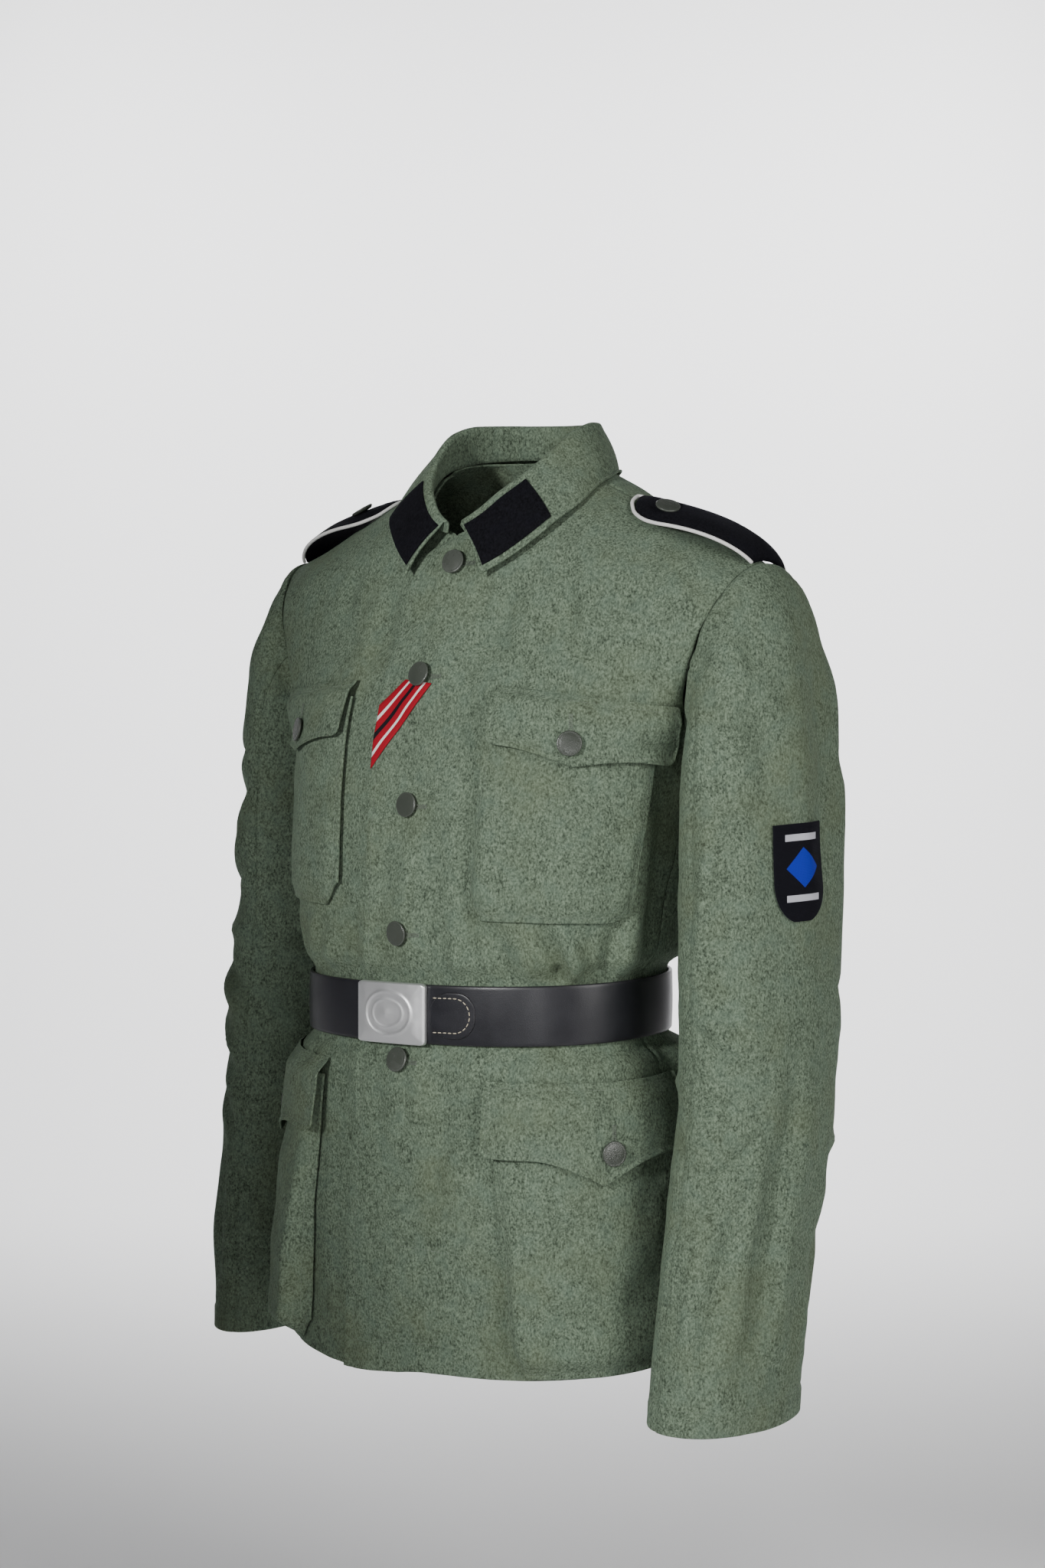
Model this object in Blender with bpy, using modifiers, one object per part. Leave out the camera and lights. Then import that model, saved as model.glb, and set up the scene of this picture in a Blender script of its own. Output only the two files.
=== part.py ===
"""A military field tunic, hollow, as worn, with its leather belt.

The cloth is a thin wall. Sections and rows in short tables give its form, and a few functions turn them into
panels, sleeves, collar, pockets and straps. Metres, +Z up, +X the wearer's left, -Y the front. The origin is
the middle of the neck at the height where the shoulder seams start.
"""

import math

import bpy
import numpy as np
from mathutils import Matrix, Vector

# Driving sizes
WALL = 0.0018  # wool cloth
THIN = 0.0014  # pockets, flaps and trims, which are pressed flat
GAP = 0.0003  # between neighbouring pieces
ARMHOLE_GAP = 0.0014  # wider, because the facets on its two sides differ
LIE = 0.0018  # from a panel to what is sewn flat on it
PATCH_LIE = 0.0010  # the sleeve patch on its sleeve
FLAP_CLEAR = 0.0024  # from a pocket to its flap
OVERLAP_UNDER = 0.022  # how far the right front runs under the left one, past the centre
BELT_HEIGHT = 0.045
BELT_MIDDLE = -0.412
LEATHER = 0.0028
BUTTON_RADIUS = 0.0095
BUTTON_THICK = 0.0034
STRAP_WIDTH = 0.046
STRAP_THICK = 0.0030
PIPING_RADIUS = 0.0014
COLLAR_WALL = 0.0022
RIBBON_THICK = 0.0006
PATCH_THICK = 0.0012
BUTTON_STEPS = 12
# from the middle of the face to the middle of the back: share of the radius, share of the thickness
BUTTON_PROFILE = ((0.0, 1.0), (0.62, 0.90), (0.93, 0.62), (1.0, 0.36), (0.86, 0.0), (0.0, 0.0))

# The body below the arms: one row for each level section, from hem to underarm.
# height, half width, front, back, roundness, middle where the side seam runs
BODY_SECTIONS = (
    (-0.684, 0.172, -0.158, 0.090, 2.4, -0.032),
    (-0.615, 0.171, -0.158, 0.087, 2.4, -0.034),
    (-0.540, 0.170, -0.157, 0.083, 2.4, -0.037),
    (-0.480, 0.165, -0.155, 0.078, 2.4, -0.041),
    (-0.452, 0.162, -0.154, 0.076, 2.4, -0.043),
    (-0.436, 0.150, -0.149, 0.055, 2.3, -0.047),
    (-0.412, 0.149, -0.149, 0.054, 2.3, -0.047),
    (-0.388, 0.149, -0.149, 0.055, 2.3, -0.047),
    (-0.370, 0.160, -0.155, 0.077, 2.4, -0.043),
    (-0.325, 0.164, -0.156, 0.084, 2.5, -0.038),
    (-0.265, 0.169, -0.149, 0.092, 2.6, -0.026),
    (-0.210, 0.177, -0.140, 0.096, 2.7, 0.0),
)
HEM_RISE = 0.010  # the hem is higher at the sides than at the centre front
UNDERARM_ROW = len(BODY_SECTIONS) - 1
BELT_ROW = 6
BODY_RADIUS = 0.15  # turns angles round the body into distances
BODY_AXIS_Y = -0.03

# The slant of the belt and of the hem
WAIST_TILT = 0.05  # the belt sits higher towards the wearer's left
TILT_FROM = -0.02
TILT_REACH = 0.14  # above and below the belt the cloth comes level again
HEM_DROP = 0.011  # the hem hangs lower on the wearer's right
HEM_DROP_FROM = 0.03
HEM_DROP_WIDTH = 0.09
HEM_DROP_TOP = -0.58
HEM_DROP_FADE = 0.10

# The armhole is an ellipse between the underarm and the shoulder's end.
UNDERARM = np.array((0.177, 0.0, -0.210))
SHOULDER_END = np.array((0.223, 0.0, -0.072))
ARMHOLE_HALF_DEPTH = 0.060

# The neckline, seen from above, is an ellipse that drops towards the throat.
NECK_HALF_WIDTH = 0.062
NECK_MIDDLE = -0.015
NECK_FRONT = -0.088
NECK_BACK = 0.053
# angle from the throat, height
NECK_HEIGHTS = ((0, -0.053), (30, -0.044), (60, -0.018), (90, 0.0), (120, 0.007), (150, 0.009), (180, 0.009))

# Rows above the underarm: where a row starts, the armhole angle where it ends, and its roundness.
# start x, y, z or neck angle
FRONT_ROWS = (
    ((0.0, -0.128, -0.158), 145, 2.5),
    ((0.0, -0.108, -0.106), 112, 2.2),
    (0, 80, 2.0),
    (36, 52, 1.8),
    (64, 26, 1.4),
    (83, 8, 1.1),
    (90, 0, 1.0),
)
BACK_ROWS = (
    ((0.0, 0.099, -0.155), -145, 2.6),
    ((0.0, 0.095, -0.100), -112, 2.3),
    ((0.0, 0.080, -0.045), -80, 2.0),
    (180, -52, 1.7),
    (128, -26, 1.4),
    (97, -8, 1.1),
    (90, 0, 1.0),
)
TOP_ROW = UNDERARM_ROW + len(FRONT_ROWS)

# How many strips each span between two rows has, from the hem to the shoulder seam
ROW_SPLITS = (2, 2, 2, 1, 1, 1, 1, 1, 2, 2, 2, 2, 2, 2, 2, 1, 1, 1)
EDGE_COLUMNS = 3  # columns of the strip past the centre
FRONT_COLUMNS = 13
THROAT_ROW = UNDERARM_ROW + 3  # the strip past the centre ends here
NECK_ROW = UNDERARM_ROW + 4  # the two halves of the back part here
SEAM_SHARE = 0.0009  # half a seam, as a share of the half width
SEAM_ROW_SHARE = 0.03  # half the shoulder seam, as a share of a row
COVER_START = 0.060  # where the right front starts to sink beneath the left one
COVER_END = 0.080

# The left front's free edge, past the centre on the wearer's right: height, distance past the centre
FRONT_EDGE = ((-0.688, 0.056), (-0.582, 0.051), (-0.462, 0.046), (-0.341, 0.034), (-0.157, 0.040), (-0.050, 0.036))

BELT_FADE = 0.018  # the belt flattens the folds this far above and below its edges
BELT_PRESS = 0.1

# Folds of the body: the two ends as angle from the front and height, then half width and depth of each.
BODY_FOLDS = (
    (20, -0.352, 27, -0.392, 0.007, 0.0025),
    (36, -0.354, 44, -0.392, 0.008, -0.0035),
    (56, -0.352, 60, -0.392, 0.009, 0.0035),
    (88, -0.290, 80, -0.386, 0.011, -0.0040),
    (-32, -0.354, -38, -0.392, 0.008, 0.0030),
    (-52, -0.354, -50, -0.392, 0.009, -0.0035),
    (-88, -0.290, -80, -0.386, 0.011, 0.0035),
    (100, -0.300, 106, -0.386, 0.014, 0.0040),
    (128, -0.280, 124, -0.386, 0.014, -0.0045),
    (150, -0.290, 148, -0.386, 0.014, 0.0045),
    (174, -0.270, 172, -0.386, 0.014, -0.0045),
    (-104, -0.300, -108, -0.386, 0.014, -0.0040),
    (-128, -0.280, -126, -0.386, 0.014, 0.0045),
    (-152, -0.290, -150, -0.386, 0.014, -0.0045),
    (100, -0.440, 98, -0.560, 0.015, 0.0045),
    (125, -0.440, 128, -0.600, 0.016, -0.0050),
    (150, -0.440, 154, -0.560, 0.016, 0.0045),
    (176, -0.440, 178, -0.620, 0.016, -0.0040),
    (-100, -0.440, -98, -0.560, 0.015, -0.0045),
    (-125, -0.440, -128, -0.590, 0.016, 0.0050),
    (-150, -0.440, -153, -0.560, 0.016, -0.0045),
    (46, -0.090, 28, -0.148, 0.012, -0.0030),
    (-46, -0.092, -28, -0.150, 0.013, -0.0030),
    (140, -0.130, 112, -0.200, 0.015, -0.0040),
    (-140, -0.135, -112, -0.200, 0.015, -0.0040),
)

# The left sleeve: one row for each section from armhole to cuff.
# inner x, inner z, outer x, outer z, middle y, half depth, turn of the section in degrees
SLEEVE_SECTIONS = (
    (0.177, -0.210, 0.223, -0.072, 0.000, 0.060, 0),
    (0.179, -0.213, 0.235, -0.080, 0.000, 0.063, 0),
    (0.181, -0.217, 0.245, -0.100, -0.001, 0.068, 0),
    (0.182, -0.222, 0.255, -0.142, -0.002, 0.074, 0),
    (0.182, -0.232, 0.265, -0.210, -0.004, 0.077, 2),
    (0.181, -0.290, 0.270, -0.280, -0.005, 0.078, 3),
    (0.181, -0.350, 0.274, -0.345, -0.007, 0.078, 4),
    (0.187, -0.420, 0.278, -0.418, -0.014, 0.074, 5),
    (0.190, -0.485, 0.278, -0.482, -0.022, 0.072, 6),
    (0.190, -0.545, 0.276, -0.542, -0.031, 0.070, 8),
    (0.190, -0.600, 0.273, -0.598, -0.040, 0.069, 9),
    (0.189, -0.655, 0.270, -0.655, -0.048, 0.068, 10),
    (0.188, -0.700, 0.268, -0.703, -0.052, 0.067, 10),
)
SLEEVE_ROWS = len(SLEEVE_SECTIONS) - 1
SLEEVE_HEAD_ROWS = 3
SLEEVE_NARROWER = {1: 0.0, -1: 0.007}  # the right sleeve hangs flatter
FRONT_SLEEVE_SEAM = 96  # degrees round the sleeve from its outer middle towards the front
BACK_SLEEVE_SEAM = -112
SLEEVE_RADIUS = 0.056  # turns angles round the sleeve into distances
SLEEVE_HEAD_STRIPS = 6
SLEEVE_HEAD_END = 4
SLEEVE_STRIPS = 13
SLEEVE_COLUMNS = {"upper": 12, "under": 9}

# Folds of the sleeves: the two ends as angle round the sleeve and height, then half width and depth.
SLEEVE_FOLDS = {
    1: (
        (60, -0.130, 20, -0.190, 0.011, -0.0035),
        (90, -0.180, 50, -0.250, 0.012, 0.0030),
        (95, -0.395, 30, -0.425, 0.011, -0.0040),
        (100, -0.440, 40, -0.455, 0.011, 0.0045),
        (100, -0.490, 55, -0.470, 0.011, -0.0045),
        (105, -0.560, 40, -0.520, 0.012, 0.0040),
        (-60, -0.400, -110, -0.440, 0.012, 0.0040),
        (-70, -0.470, -120, -0.480, 0.012, -0.0045),
        (-80, -0.540, -30, -0.600, 0.013, 0.0035),
        (20, -0.480, 24, -0.660, 0.012, 0.0025),
        (-60, -0.130, -30, -0.200, 0.013, -0.0035),
    ),
    -1: (
        (60, -0.130, 25, -0.200, 0.012, -0.0035),
        (80, -0.250, 20, -0.285, 0.013, 0.0045),
        (85, -0.290, 25, -0.325, 0.012, -0.0045),
        (95, -0.350, 35, -0.345, 0.012, 0.0040),
        (100, -0.440, 35, -0.415, 0.012, -0.0040),
        (100, -0.500, 40, -0.470, 0.012, 0.0040),
        (-60, -0.390, -110, -0.430, 0.012, 0.0040),
        (-70, -0.460, -120, -0.480, 0.012, -0.0045),
        (-60, -0.130, -30, -0.200, 0.013, -0.0035),
    ),
}

# The collar from its front end round to the back: angle, height of the fold, then the outer edge
# angle, fold z, edge x, edge y, edge z
COLLAR_LEVELS = (
    (8, -0.041, 0.036, -0.104, -0.081),
    (20, -0.033, 0.050, -0.096, -0.072),
    (35, -0.019, 0.066, -0.086, -0.059),
    (50, -0.006, 0.080, -0.074, -0.044),
    (70, 0.013, 0.089, -0.045, -0.025),
    (90, 0.030, 0.086, -0.012, -0.010),
    (110, 0.036, 0.076, 0.015, -0.005),
    (140, 0.037, 0.052, 0.046, -0.004),
    (180, 0.037, 0.0, 0.064, -0.004),
)
COLLAR_START = 8
COLLAR_ANGLES = (COLLAR_START, 16, 26, 36, 48, 62, 76, 90, 105, 122, 140, 160, 180)
COLLAR_SHARES = (0.0, 0.18, 0.35, 0.38, 0.42, 0.45, 0.6, 0.8, 1.0)  # from the neck seam to the outer edge
COLLAR_TURN = (0.35, 0.45)  # shares between which the collar turns over
COLLAR_ROLL = 0.0028  # radius of the turn
COLLAR_BOW = 0.003  # how far the leaf bows out between fold and edge
COLLAR_CLEAR = 0.0016  # from the body to the leaf's wall
FOLD_ELLIPSE = (0.060, -0.092, 0.056)  # half width, front, back

# The plain tabs on the collar: shares down the leaf, angles round it, and degrees of slant for each share
TAB_SHARES = (0.50, 0.90)
TAB_ANGLES = (9.5, 45)
TAB_SLANT = 18

# Pockets and flaps, along the cloth from the centre front: inner edge at the top and the bottom, outer edge
# at the top and the bottom, then the heights of the four corners and how far the middle stands off.
POCKETS = {
    "chest": {
        "inner": (0.071, 0.063),
        "outer": (0.204, 0.195),
        "top": (-0.176, -0.186),
        "bottom": (-0.335, -0.336),
        "drop": {1: 0.0, -1: 0.0},
        "stand_off": {1: 0.003, -1: 0.003},
        "outer_share": 1.0,
    },
    "skirt": {
        "inner": (0.084, 0.100),
        "outer": (0.240, 0.240),
        "top": (-0.468, -0.468),
        "bottom": (-0.676, -0.672),
        "drop": {1: 0.0, -1: 0.008},
        "stand_off": {1: 0.012, -1: 0.026},
        "outer_share": 0.2,
    },
}
POCKET_TURN = 0.09  # share of a pocket in which it turns in to the panel
OPENING_LIFT = 0.25  # share of the stand-off at the opening
OPENING_END = 0.95
CORNER_RISE = 0.018
CORNER_SHARE = 0.12

# inner and outer edge, height of the seam at both, height of the sides and of the tip, place of the button
FLAPS = {
    "chest": {
        "inner": 0.071,
        "outer": 0.213,
        "top": (-0.163, -0.177),
        "side": 0.044,
        "tip": 0.051,
        "button": (0.445, 0.70),
    },
    "skirt": {
        "inner": 0.079,
        "outer": 0.245,
        "top": (-0.455, -0.454),
        "side": 0.056,
        "tip": 0.074,
        "button": (0.57, 0.72),
    },
}
FLAP_INSET = 0.14  # a flap takes the pocket's height no nearer to its sides than this share
FLAP_ROOT = 0.26  # share of a flap in which it rises from the seam

# The even lattice of distance from the centre and height on which things are placed
LATTICE_STEP = 0.004
REACHES = np.arange(-0.060, 0.300, LATTICE_STEP)
HEIGHTS = np.arange(-0.704, -0.060, LATTICE_STEP)

# Shoulder straps, along the shoulder seam from the neck at 0 to the armhole at 1
STRAP_SHIFTS = (-0.013, 0.010)  # at the collar end and at the sleeve, from the seam towards the back
STRAP_START = 0.385
STRAP_END = 0.93
STRAP_LIFT = 0.011  # the arch in the middle
STRAP_SEAT = 0.0009
STRAP_ROUND = 0.10
STRAP_ROUNDNESS = 2.2
STRAP_TIP = 0.002
STRAP_PLACES = (0.0, 0.02, 0.06, 0.12, 0.19, 0.34, 0.5, 0.66, 0.82, 1.0)
STRAP_COLUMNS = 7
STRAP_BUTTON = 0.49
STRAP_BUTTON_SEAT = 0.0017
STRAP_SEAM_LENGTH = 0.162
STRAP_ROW_REACH = 3.2  # rows to both sides of the seam over which a strap is measured
STRAP_SAMPLES = 121

# The belt and what lies on it: distances past the centre front, height and thickness
BELT_LIFT = 0.0016
BELT_STEPS = 56
BELT_TAB = (0.0225, 0.057, 0.032, 0.0016)
BELT_TAB_NARROWS = 0.5
BUCKLE = (-0.033, 0.020, 0.047, 0.0042)
BUCKLE_BEVEL = 0.0016

# The ribbon: distance past the centre and height at the buttonhole and at the free edge
RIBBON_UPPER = ((0.013, -0.158), (-0.036, -0.178))
RIBBON_LOWER = ((0.013, -0.168), (-0.036, -0.222))

# The badge ground on the left sleeve: middle and half width in degrees, top, height, where its foot narrows
PATCH_MIDDLE = 12
PATCH_HALF = 19
PATCH_TOP = -0.260
PATCH_HEIGHT = 0.072
PATCH_FOOT = 0.6
PATCH_FOOT_LENGTH = 0.42

# Buttons down the front: height, distance from the centre, distance from the cloth
FRONT_BUTTONS = (
    (-0.072, 0.006, 0.0006),
    (-0.157, 0.000, 0.0019),
    (-0.254, 0.002, 0.0006),
    (-0.350, 0.001, 0.0006),
    (-0.447, -0.001, 0.0006),
)
BUTTON_SEAT = 0.0007  # from a pocket flap or a strap to its button

COLLECTION = "field_tunic"


def spline(table, at):
    """Smooth values between the rows of a table, with no overshoot."""
    table = np.asarray(table, float)
    at = np.asarray(at, float)
    step = np.diff(table, axis=0)
    same = step[:-1] * step[1:] > 0
    total = np.where(same, step[:-1] + step[1:], 1.0)
    inside = np.where(same, 2 * step[:-1] * step[1:] / total, 0.0)
    slope = np.vstack((step[:1], inside, step[-1:]))
    low = np.clip(np.floor(at).astype(int), 0, len(table) - 2)
    t = (at - low)[..., None]
    value = (2 * t**3 - 3 * t**2 + 1) * table[low] + (3 * t**2 - 2 * t**3) * table[low + 1]
    return value + (t**3 - 2 * t**2 + t) * slope[low] + (t**3 - t**2) * slope[low + 1]


def curve_at(rows, at, column=1):
    """One column of a table whose first column is the position, read smoothly."""
    rows = np.asarray(rows, float)
    place = np.interp(at, rows[:, 0], np.arange(len(rows)))
    return spline(rows[:, column : column + 1], place)[..., 0]


def signed_power(value, power):
    return np.sign(value) * np.abs(value) ** power


def unit(vectors):
    return vectors / np.maximum(np.linalg.norm(vectors, axis=-1, keepdims=True), 1e-12)


def smooth_step(value):
    value = np.clip(value, 0.0, 1.0)
    return value * value * (3 - 2 * value)


def armhole_point(angle):
    middle = (UNDERARM + SHOULDER_END) / 2
    half = (SHOULDER_END - UNDERARM) / 2
    turn = math.radians(angle)
    return middle + math.cos(turn) * half + np.array((0.0, -ARMHOLE_HALF_DEPTH * math.sin(turn), 0.0))


def on_ellipse(angle, half_width, front, back, middle=NECK_MIDDLE):
    """Place on an ellipse seen from above, whose front and back halves differ. The front is at 0 degrees."""
    turn = np.radians(angle)
    reach = np.where(np.cos(turn) > 0, middle - front, back - middle)
    return half_width * np.sin(turn), middle - reach * np.cos(turn)


def neck_point(angle):
    x, y = on_ellipse(angle, NECK_HALF_WIDTH, NECK_FRONT, NECK_BACK)
    return np.stack((x, y, curve_at(NECK_HEIGHTS, angle)), axis=-1)


def torso_rows(upper_rows, depth_column):
    """Each row as start x, y, z, end x, y, z and roundness, from the hem to the shoulder seam."""
    rows = []
    for section in BODY_SECTIONS:
        height, half_width, roundness = section[0], section[1], section[4]
        side_height = height + HEM_RISE * (section is BODY_SECTIONS[0])
        rows.append((0.0, section[depth_column], height, half_width, section[5], side_height, roundness))
    for start, armhole_angle, roundness in upper_rows:
        start = start if isinstance(start, tuple) else tuple(neck_point(float(start)))
        rows.append((*start, *armhole_point(armhole_angle), roundness))
    return np.array(rows)


FRONT_TABLE = torso_rows(FRONT_ROWS, 2)
BACK_TABLE = torso_rows(BACK_ROWS, 3)
SIDE_SEAM = np.array([section[5:] for section in BODY_SECTIONS])


def row_at(table, up):
    """A row of the front or the back. Up to the underarm both share the side seam."""
    row = spline(table, up)
    seam = spline(SIDE_SEAM, np.minimum(up, UNDERARM_ROW))[..., 0]
    row[..., 4] = np.where(up < UNDERARM_ROW, seam, row[..., 4])
    return row


def torso(across, up):
    """Left half of the body. across runs from 0 at the centre to 1 at the side. up runs over the front from the
    hem to the shoulder seam at TOP_ROW, and on down the back to twice that."""
    across, up = np.broadcast_arrays(np.asarray(across, float), np.asarray(up, float))
    on_front = (up <= TOP_ROW)[..., None]
    row = np.where(on_front, row_at(FRONT_TABLE, up), row_at(BACK_TABLE, 2 * TOP_ROW - up))
    turn = across * math.pi / 2
    power = 2 / row[..., 6]
    out = signed_power(np.sin(turn), power)
    back = signed_power(np.cos(turn), power)
    x = row[..., 0] + (row[..., 3] - row[..., 0]) * out
    y = row[..., 4] + (row[..., 1] - row[..., 4]) * back
    z = row[..., 2] + (row[..., 5] - row[..., 2]) * np.abs(out)
    return np.stack((x, y, z), axis=-1)


def torso_normal(across, up):
    small = 0.004
    along = torso(across + small, up) - torso(across - small, up)
    rise = torso(across, up + small) - torso(across, up - small)
    return unit(np.cross(along, rise))


def fold_depth(angle, height, radius, folds):
    """How far the cloth stands out or in, from a table of folds on a surface unrolled by angle and height."""
    place = np.stack((np.radians(angle) * radius, height), axis=-1)
    depth = np.zeros(np.shape(height))
    for start_angle, start_height, end_angle, end_height, half_width, size in folds:
        start = np.array((math.radians(start_angle) * radius, start_height))
        end = np.array((math.radians(end_angle) * radius, end_height))
        along = end - start
        share = np.clip(((place - start) @ along) / (along @ along), 0.0, 1.0)
        away = np.linalg.norm(place - start - share[..., None] * along, axis=-1)
        ends = np.sqrt(np.clip(np.sin(math.pi * np.clip(share, 0.03, 0.97)), 0.0, 1.0))
        depth = depth + size * ends * np.exp(-((away / half_width) ** 2))
    return depth


def tilted(points):
    """Points raised or lowered with the slant of the belt and of the hem."""
    near = smooth_step(1 - np.abs(points[..., 2] - BELT_MIDDLE) / TILT_REACH)
    rise = WAIST_TILT * (points[..., 0] - TILT_FROM) * near
    low = smooth_step((HEM_DROP_TOP - points[..., 2]) / HEM_DROP_FADE)
    rise = rise - HEM_DROP * low * smooth_step((HEM_DROP_FROM - points[..., 0]) / HEM_DROP_WIDTH)
    return points + rise[..., None] * np.array((0.0, 0.0, 1.0))


def torso_cloth(across, up, side):
    """Outer face of the body cloth and its normals, with folds. side is 1 for the left half, -1 for the right."""
    points = torso(across, up)
    normals = torso_normal(across, up)
    angle = np.degrees(np.arctan2(points[..., 0], BODY_AXIS_Y - points[..., 1]))
    depth = fold_depth(side * angle, points[..., 2], BODY_RADIUS, BODY_FOLDS)
    # The belt presses the folds flat.
    depth = depth * smooth_step((np.abs(points[..., 2] - BELT_MIDDLE) - BELT_HEIGHT / 2) / BELT_FADE - BELT_PRESS)
    points = points + depth[..., None] * normals
    flip = np.array((side, 1.0, 1.0))
    return tilted(points * flip), normals * flip


def sleeve(angle, down, side):
    """A sleeve, not yet mirrored: angle round it from its outer middle to the front, down from 0 at the armhole."""
    angle, down = np.broadcast_arrays(np.asarray(angle, float), np.asarray(down, float))
    row = spline(SLEEVE_SECTIONS, down)
    row[..., 2] -= SLEEVE_NARROWER[side] * smooth_step(down / SLEEVE_HEAD_ROWS)
    inner = np.stack((row[..., 0], row[..., 4], row[..., 1]), axis=-1)
    outer = np.stack((row[..., 2], row[..., 4], row[..., 3]), axis=-1)
    middle = (inner + outer) / 2
    wide = (outer - inner) / 2
    half = np.linalg.norm(wide, axis=-1, keepdims=True)
    wide = wide / half
    front = np.array((0.0, -1.0, 0.0))
    turn = np.radians(row[..., 6:7])
    first = np.cos(turn) * wide + np.sin(turn) * front
    second = np.cos(turn) * front - np.sin(turn) * wide
    round_angle = np.radians(angle)[..., None]
    return middle + half * np.cos(round_angle) * first + row[..., 5:6] * np.sin(round_angle) * second


def sleeve_cloth(angle, down, side):
    points = sleeve(angle, down, side)
    small = 0.01
    around = sleeve(angle + 1.0, down, side) - sleeve(angle - 1.0, down, side)
    low, high = np.minimum(down + small, SLEEVE_ROWS), np.maximum(down - small, 0.0)
    along = sleeve(angle, low, side) - sleeve(angle, high, side)
    normals = unit(np.cross(along, around))
    angle = np.broadcast_to(angle, points.shape[:-1])
    depth = fold_depth(angle, points[..., 2], SLEEVE_RADIUS, SLEEVE_FOLDS[side])
    points = points + depth[..., None] * normals
    flip = np.array((side, 1.0, 1.0))
    return points * flip, normals * flip


def collar_surface(angle, share):
    """Middle of the collar's wall: share 0 at the neck seam, 0.4 at the fold and 1 at the outer edge."""
    angle = np.asarray(angle, float)
    low = neck_point(angle)
    fold_x, fold_y = on_ellipse(angle, *FOLD_ELLIPSE)
    fold = np.stack((fold_x, fold_y, curve_at(COLLAR_LEVELS, angle, 1)), axis=-1)
    edge = np.stack([curve_at(COLLAR_LEVELS, angle, column) for column in (2, 3, 4)], axis=-1)
    outward = edge - fold
    outward[..., 2] = 0.0
    outward = unit(outward)
    low = low + np.array((0.0, 0.0, COLLAR_WALL / 2 + GAP))
    upward = np.array((0.0, 0.0, COLLAR_ROLL))
    turn_start, turn_end = COLLAR_TURN
    inner_top = fold - outward * COLLAR_ROLL - upward
    outer_top = fold + outward * COLLAR_ROLL - upward
    if share <= turn_start:
        t = share / turn_start
        return low + (inner_top - low) * t
    if share < turn_end:
        turn = math.pi * (share - turn_start) / (turn_end - turn_start)
        return fold - upward - outward * COLLAR_ROLL * math.cos(turn) + upward * math.sin(turn)
    t = (share - turn_end) / (1 - turn_end)
    point = outer_top + (edge - outer_top) * t + outward * COLLAR_BOW * math.sin(math.pi * t)
    return clear_of_body(point, COLLAR_WALL / 2 + COLLAR_CLEAR)


def body_samples():
    """Points and normals of the body's left half above the underarm."""
    across = np.linspace(-0.15, 0.9, 90)
    up = np.linspace(UNDERARM_ROW + 1, 2 * TOP_ROW - UNDERARM_ROW - 1, 160)
    points, normals = torso_cloth(across[None, :], up[:, None], 1)
    return points.reshape(-1, 3), normals.reshape(-1, 3)


def clear_of_body(points, clearance):
    """Points moved out along the body's normals wherever they come nearer to it than clearance."""
    near = np.linalg.norm(points[:, None] - body_points[None], axis=-1).argmin(axis=1)
    short = clearance - ((points - body_points[near]) * body_normals[near]).sum(axis=-1)
    return points + np.clip(short, 0.0, None)[:, None] * body_normals[near]


def make_material(name, colour, roughness, metallic=0.0):
    material = bpy.data.materials.new(name)
    material.use_nodes = True
    shader = material.node_tree.nodes["Principled BSDF"]
    shader.inputs["Base Color"].default_value = (*colour, 1.0)
    shader.inputs["Roughness"].default_value = roughness
    shader.inputs["Metallic"].default_value = metallic
    return material


def add_object(name, vertices, faces, material, smooth=True):
    mesh = bpy.data.meshes.new(name)
    mesh.from_pydata([tuple(map(float, v)) for v in vertices], [], faces)
    mesh.update()
    if smooth:
        mesh.shade_smooth()
    mesh.materials.append(material)
    obj = bpy.data.objects.new(name, mesh)
    parts.objects.link(obj)
    return obj


def grid_faces(rows, columns, keep=None, turned=False):
    """Quads of a grid whose vertex number is row * columns + column."""
    faces = []
    for row in range(rows - 1):
        for column in range(columns - 1):
            if keep is not None and not keep(row, column):
                continue
            low = row * columns + column
            quad = (low, low + 1, low + columns + 1, low + columns)
            faces.append(quad[::-1] if turned else quad)
    return faces


def add_wall(name, points, normals, material, keep=None, turned=False, wall=WALL, shared=None):
    """A wall whose thickness follows the whole garment's normals, so that neighbours meet square at a seam."""
    rows, columns = points.shape[:2]
    outer = points.reshape(-1, 3)
    inner = (points - normals * wall).reshape(-1, 3)
    faces = grid_faces(rows, columns, keep, turned)
    if shared:
        faces = [tuple(shared.get(index, index) for index in face) for face in faces]
    edges = {}
    for face in faces:
        for start, end in zip(face, face[1:] + face[:1]):
            edges[(start, end)] = edges.get((start, end), 0) + 1
    count = len(outer)
    closed = list(faces)
    closed += [tuple(count + index for index in reversed(face)) for face in faces]
    for start, end in edges:
        if (end, start) not in edges:
            closed.append((end, start, count + start, count + end))
    used = sorted({index for face in closed for index in face})
    renumber = {index: number for number, index in enumerate(used)}
    vertices = np.vstack((outer, inner))[used]
    return add_object(name, vertices, [tuple(renumber[i] for i in face) for face in closed], material)


def solidify(obj, thickness, offset=1.0):
    modifier = obj.modifiers.new("wall", "SOLIDIFY")
    modifier.thickness = thickness
    modifier.offset = offset
    modifier.use_even_offset = True
    return obj


def front_edge_share(up):
    """Negative across value at which the left front's free edge lies, on each row."""
    row = spline(FRONT_TABLE, up)
    past = curve_at(FRONT_EDGE, row[..., 2])
    return -np.arcsin((past / row[..., 3]) ** (row[..., 6] / 2)) / (math.pi / 2)


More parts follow.
